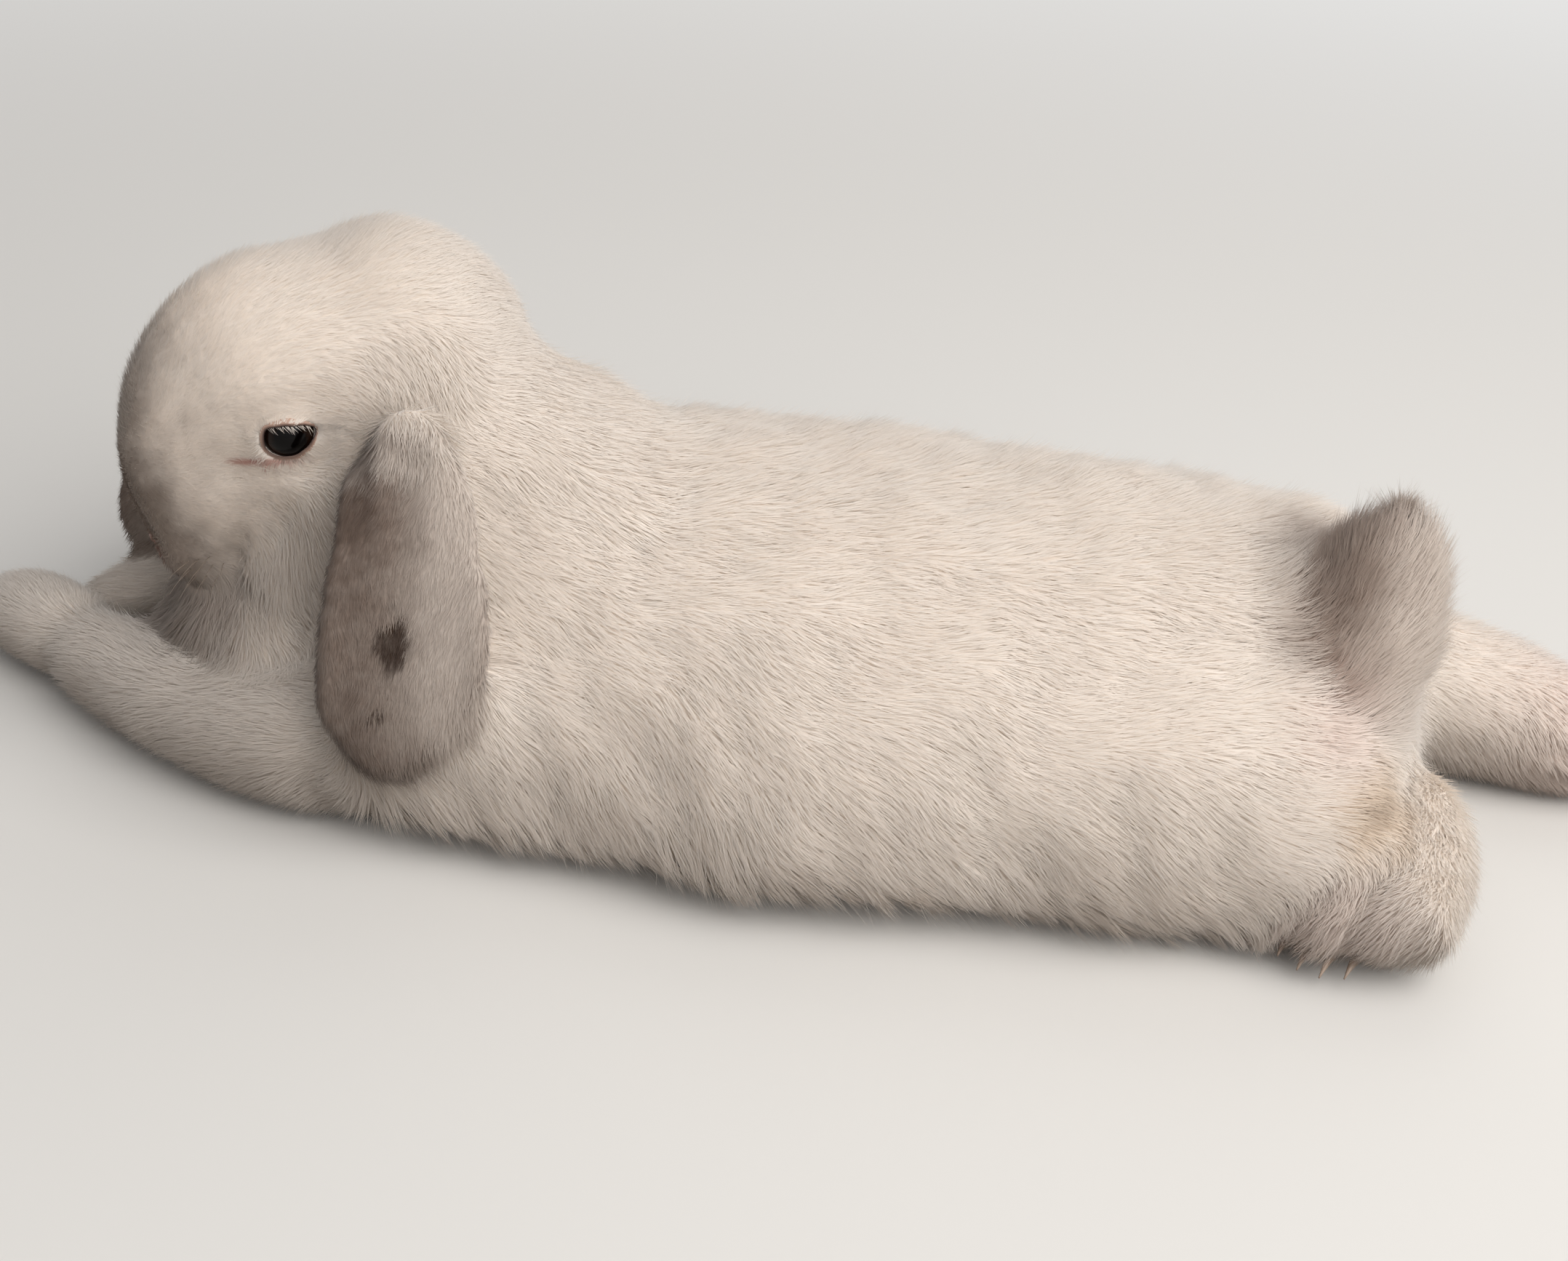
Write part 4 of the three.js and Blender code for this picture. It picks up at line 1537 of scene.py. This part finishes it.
clawSet = {
    "base": 0.0016,
    "tip": 0.0003,
    "arch": 0.0016,
    "swell": 0.35,
    "narrow": 0.8,
    "buried": 0.004,
    "ends": (0.001, 0.0006),     # how much of the CAD claw's ends gives its base and its tip
    "floor": 0.0004,
    "steps": 8,
    "sides": 14,
}


def addClaw(node, material):
    coords = coordsOf(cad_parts[node])
    along = lines[node.replace("claw_", "").rsplit("_", 1)[0]]["along"]
    level = unit(np.array((along[0], along[1], 0)))
    reach = coords @ level
    baseEnd, tipEnd = clawSet["ends"]
    base = coords[reach < reach.min() + baseEnd].mean(0)
    tip = coords[reach > reach.max() - tipEnd].mean(0)
    claw = taperedRod(node.replace("claw", "nail"), clawSet)
    x, y, share = coordsOf(claw).T
    start = base - level * clawSet["buried"]
    side = unit(np.cross(level, (0, 0, 1.0)))
    placed = start + (tip - start) * share[:, None]
    placed[:, 2] += clawSet["arch"] * np.sin(share * math.pi)
    thick = 1 + clawSet["swell"] * np.sin(share * math.pi)
    placed += side * (x * thick * clawSet["narrow"])[:, None]
    placed += np.cross(side, level) * (y * thick)[:, None]
    placed[:, 2] = np.maximum(placed[:, 2], clawSet["floor"])
    setCoords(claw, placed)
    writeFloat(claw, "tipward", share)
    pointOutward(claw)
    finishPiece(claw, material, "claw", node)


studioSet = {
    "floor": linear(234, 232, 228),
    "bounce": linear(126, 118, 110),     # what the object gets back from the floor
    "far": (0.80, 0.795, 0.785, 1),
    "fadeFrom": 0.40,
    "fadeTo": 1.30,
    "target": (-0.01152, -0.0200, 0.050),
    "distance": 0.600,
    "pitchDown": 31.0,
    "roll": 6.5,
    "lens": 50.1,
    "world": (0.84, 0.845, 0.86, 1),
    "worldStrength": 0.32,
}
lightSet = {
    "key": {"place": (0.75, -0.70, 1.10), "size": 1.6, "energy": 23.5, "color": (1, 0.972, 0.945)},
    "fill": {"place": (-0.85, -0.35, 0.80), "size": 1.2, "energy": 0.4, "color": (1, 0.975, 0.95)},
    "back": {"place": (0.10, 0.90, 0.80), "size": 1.2, "energy": 2.4, "color": (1, 0.98, 0.96)},
}


def seenDirectly(tree):
    # one for camera, mirror and glass rays, so the pale ground adds no light to the object
    path = addNode(tree, "LightPath").outputs
    total = maths(tree, "MAXIMUM", path["Is Camera Ray"], path["Is Glossy Ray"])
    return maths(tree, "MAXIMUM", total, path["Is Transmission Ray"])


def mixShaders(tree, factor, below, above, end):
    mix = addNode(tree, "MixShader", {0: factor, 1: below.outputs[0], 2: above.outputs[0]})
    feed(tree, tree.nodes[end], {"Surface": mix.outputs[0]})


def addFloor():
    floor = newPiece("studioFloor", bpy.ops.mesh.primitive_plane_add, size=8,
                     location=(0, 0, -0.0004))
    material, tree, shader = newMaterial("studioFloorPaint")
    seen = seenDirectly(tree)
    feed(tree, shader, {"Roughness": 0.9, "Specular IOR Level": 0.2, "Base Color":
                        mixed(tree, seen, studioSet["bounce"], studioSet["floor"])})
    away = addNode(tree, "VectorMath", {0: objectPlace(tree)}, operation="LENGTH")
    fading = addNode(tree, "MapRange", {"Value": away.outputs["Value"],
                                        "From Min": studioSet["fadeFrom"],
                                        "From Max": studioSet["fadeTo"]},
                     interpolation_type="SMOOTHSTEP")
    glow = addNode(tree, "Emission", {"Color": studioSet["far"]})
    mixShaders(tree, maths(tree, "MULTIPLY", fading.outputs[0], seen), shader, glow,
               "Material Output")
    floor.data.materials.append(material)
    floor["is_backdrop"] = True


def addLight(name, values):
    toward = Vector((0, 0, 0.05)) - Vector(values["place"])
    bpy.ops.object.light_add(type="AREA", location=values["place"],
                             rotation=toward.to_track_quat("-Z", "Y").to_euler())
    lamp = bpy.context.object
    lamp.name = f"{name}Light"
    for key in ("size", "energy", "color"):
        setattr(lamp.data, key, values[key])


def addWorld():
    world = bpy.data.worlds.new("studioWorld")
    bpy.context.scene.world = world
    world.use_nodes = True
    tree = world.node_tree
    soft = tree.nodes["Background"]
    feed(tree, soft, {"Color": studioSet["world"], "Strength": studioSet["worldStrength"]})
    pale = addNode(tree, "Background", {"Color": studioSet["far"]})
    mixShaders(tree, seenDirectly(tree), soft, pale, "World Output")


def addCamera():
    pitch = math.radians(studioSet["pitchDown"])
    look = Vector((0, math.cos(pitch), -math.sin(pitch)))
    turned = Matrix.Rotation(math.pi / 2 - pitch, 4, "X")
    turned = turned @ Matrix.Rotation(math.radians(studioSet["roll"]), 4, "Z")
    bpy.ops.object.camera_add(location=Vector(studioSet["target"]) - look * studioSet["distance"],
                              rotation=turned.to_euler())
    camera = bpy.context.object
    camera.data.lens = studioSet["lens"]
    camera.data.sensor_width = 36
    bpy.context.scene.camera = camera
    bpy.context.scene.view_settings.view_transform = "Standard"


print("stage: skin")
skin = joinedFlesh()
shapeSkin(skin)
skinEdges = edgesOf(skin)
skinWeights = regionWeights(coordsOf(skin), skinEdges, skinSet["coatRounds"])
for key, values in markings(coordsOf(skin), skinWeights, noseTip(coordsOf(skin))).items():
    writeFloat(skin, key, values)
group = coatGroup()
skin.data.materials.clear()
finishPiece(skin, skinMaterial(group), "coat_cream", *regionNames)
print("skin", len(skin.data.polygons), "faces")

print("stage: eyes and nose")
eyeLook = eyeMaterial()
lidLook = bareSkinMaterial("lidSkin", 700, linear(206, 176, 158), linear(188, 152, 136),
                           linear(52, 34, 31))
for side in sides:
    addEye(side, eyeLook)
    addLids(side, lidLook)
# the nose's darkest colour is painted shade in its nostrils and cleft
addNose(skin, bareSkinMaterial("noseSkin", 900, linear(176, 138, 126), linear(150, 114, 104),
                               linear(74, 48, 44)))
addWhiskers(skin, hornMaterial("whiskerHair", linear(150, 136, 124), linear(204, 194, 182), 0.5))

print("stage: claws")
clawLook = hornMaterial("clawHorn", linear(92, 76, 67), linear(168, 148, 132), 0.45)
for node in sorted(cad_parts):
    if node.startswith("claw_"):
        addClaw(node, clawLook)

print("stage: coat")
growCoat(skin, skinWeights, skinEdges, tuftMaterial(group))

print("stage: studio")
addFloor()
for name, values in lightSet.items():
    addLight(name, values)
addWorld()
addCamera()

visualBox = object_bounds()
for box in (cadBox, visualBox):
    print("size", [round(high - low, 4) for low, high in zip(*box)])
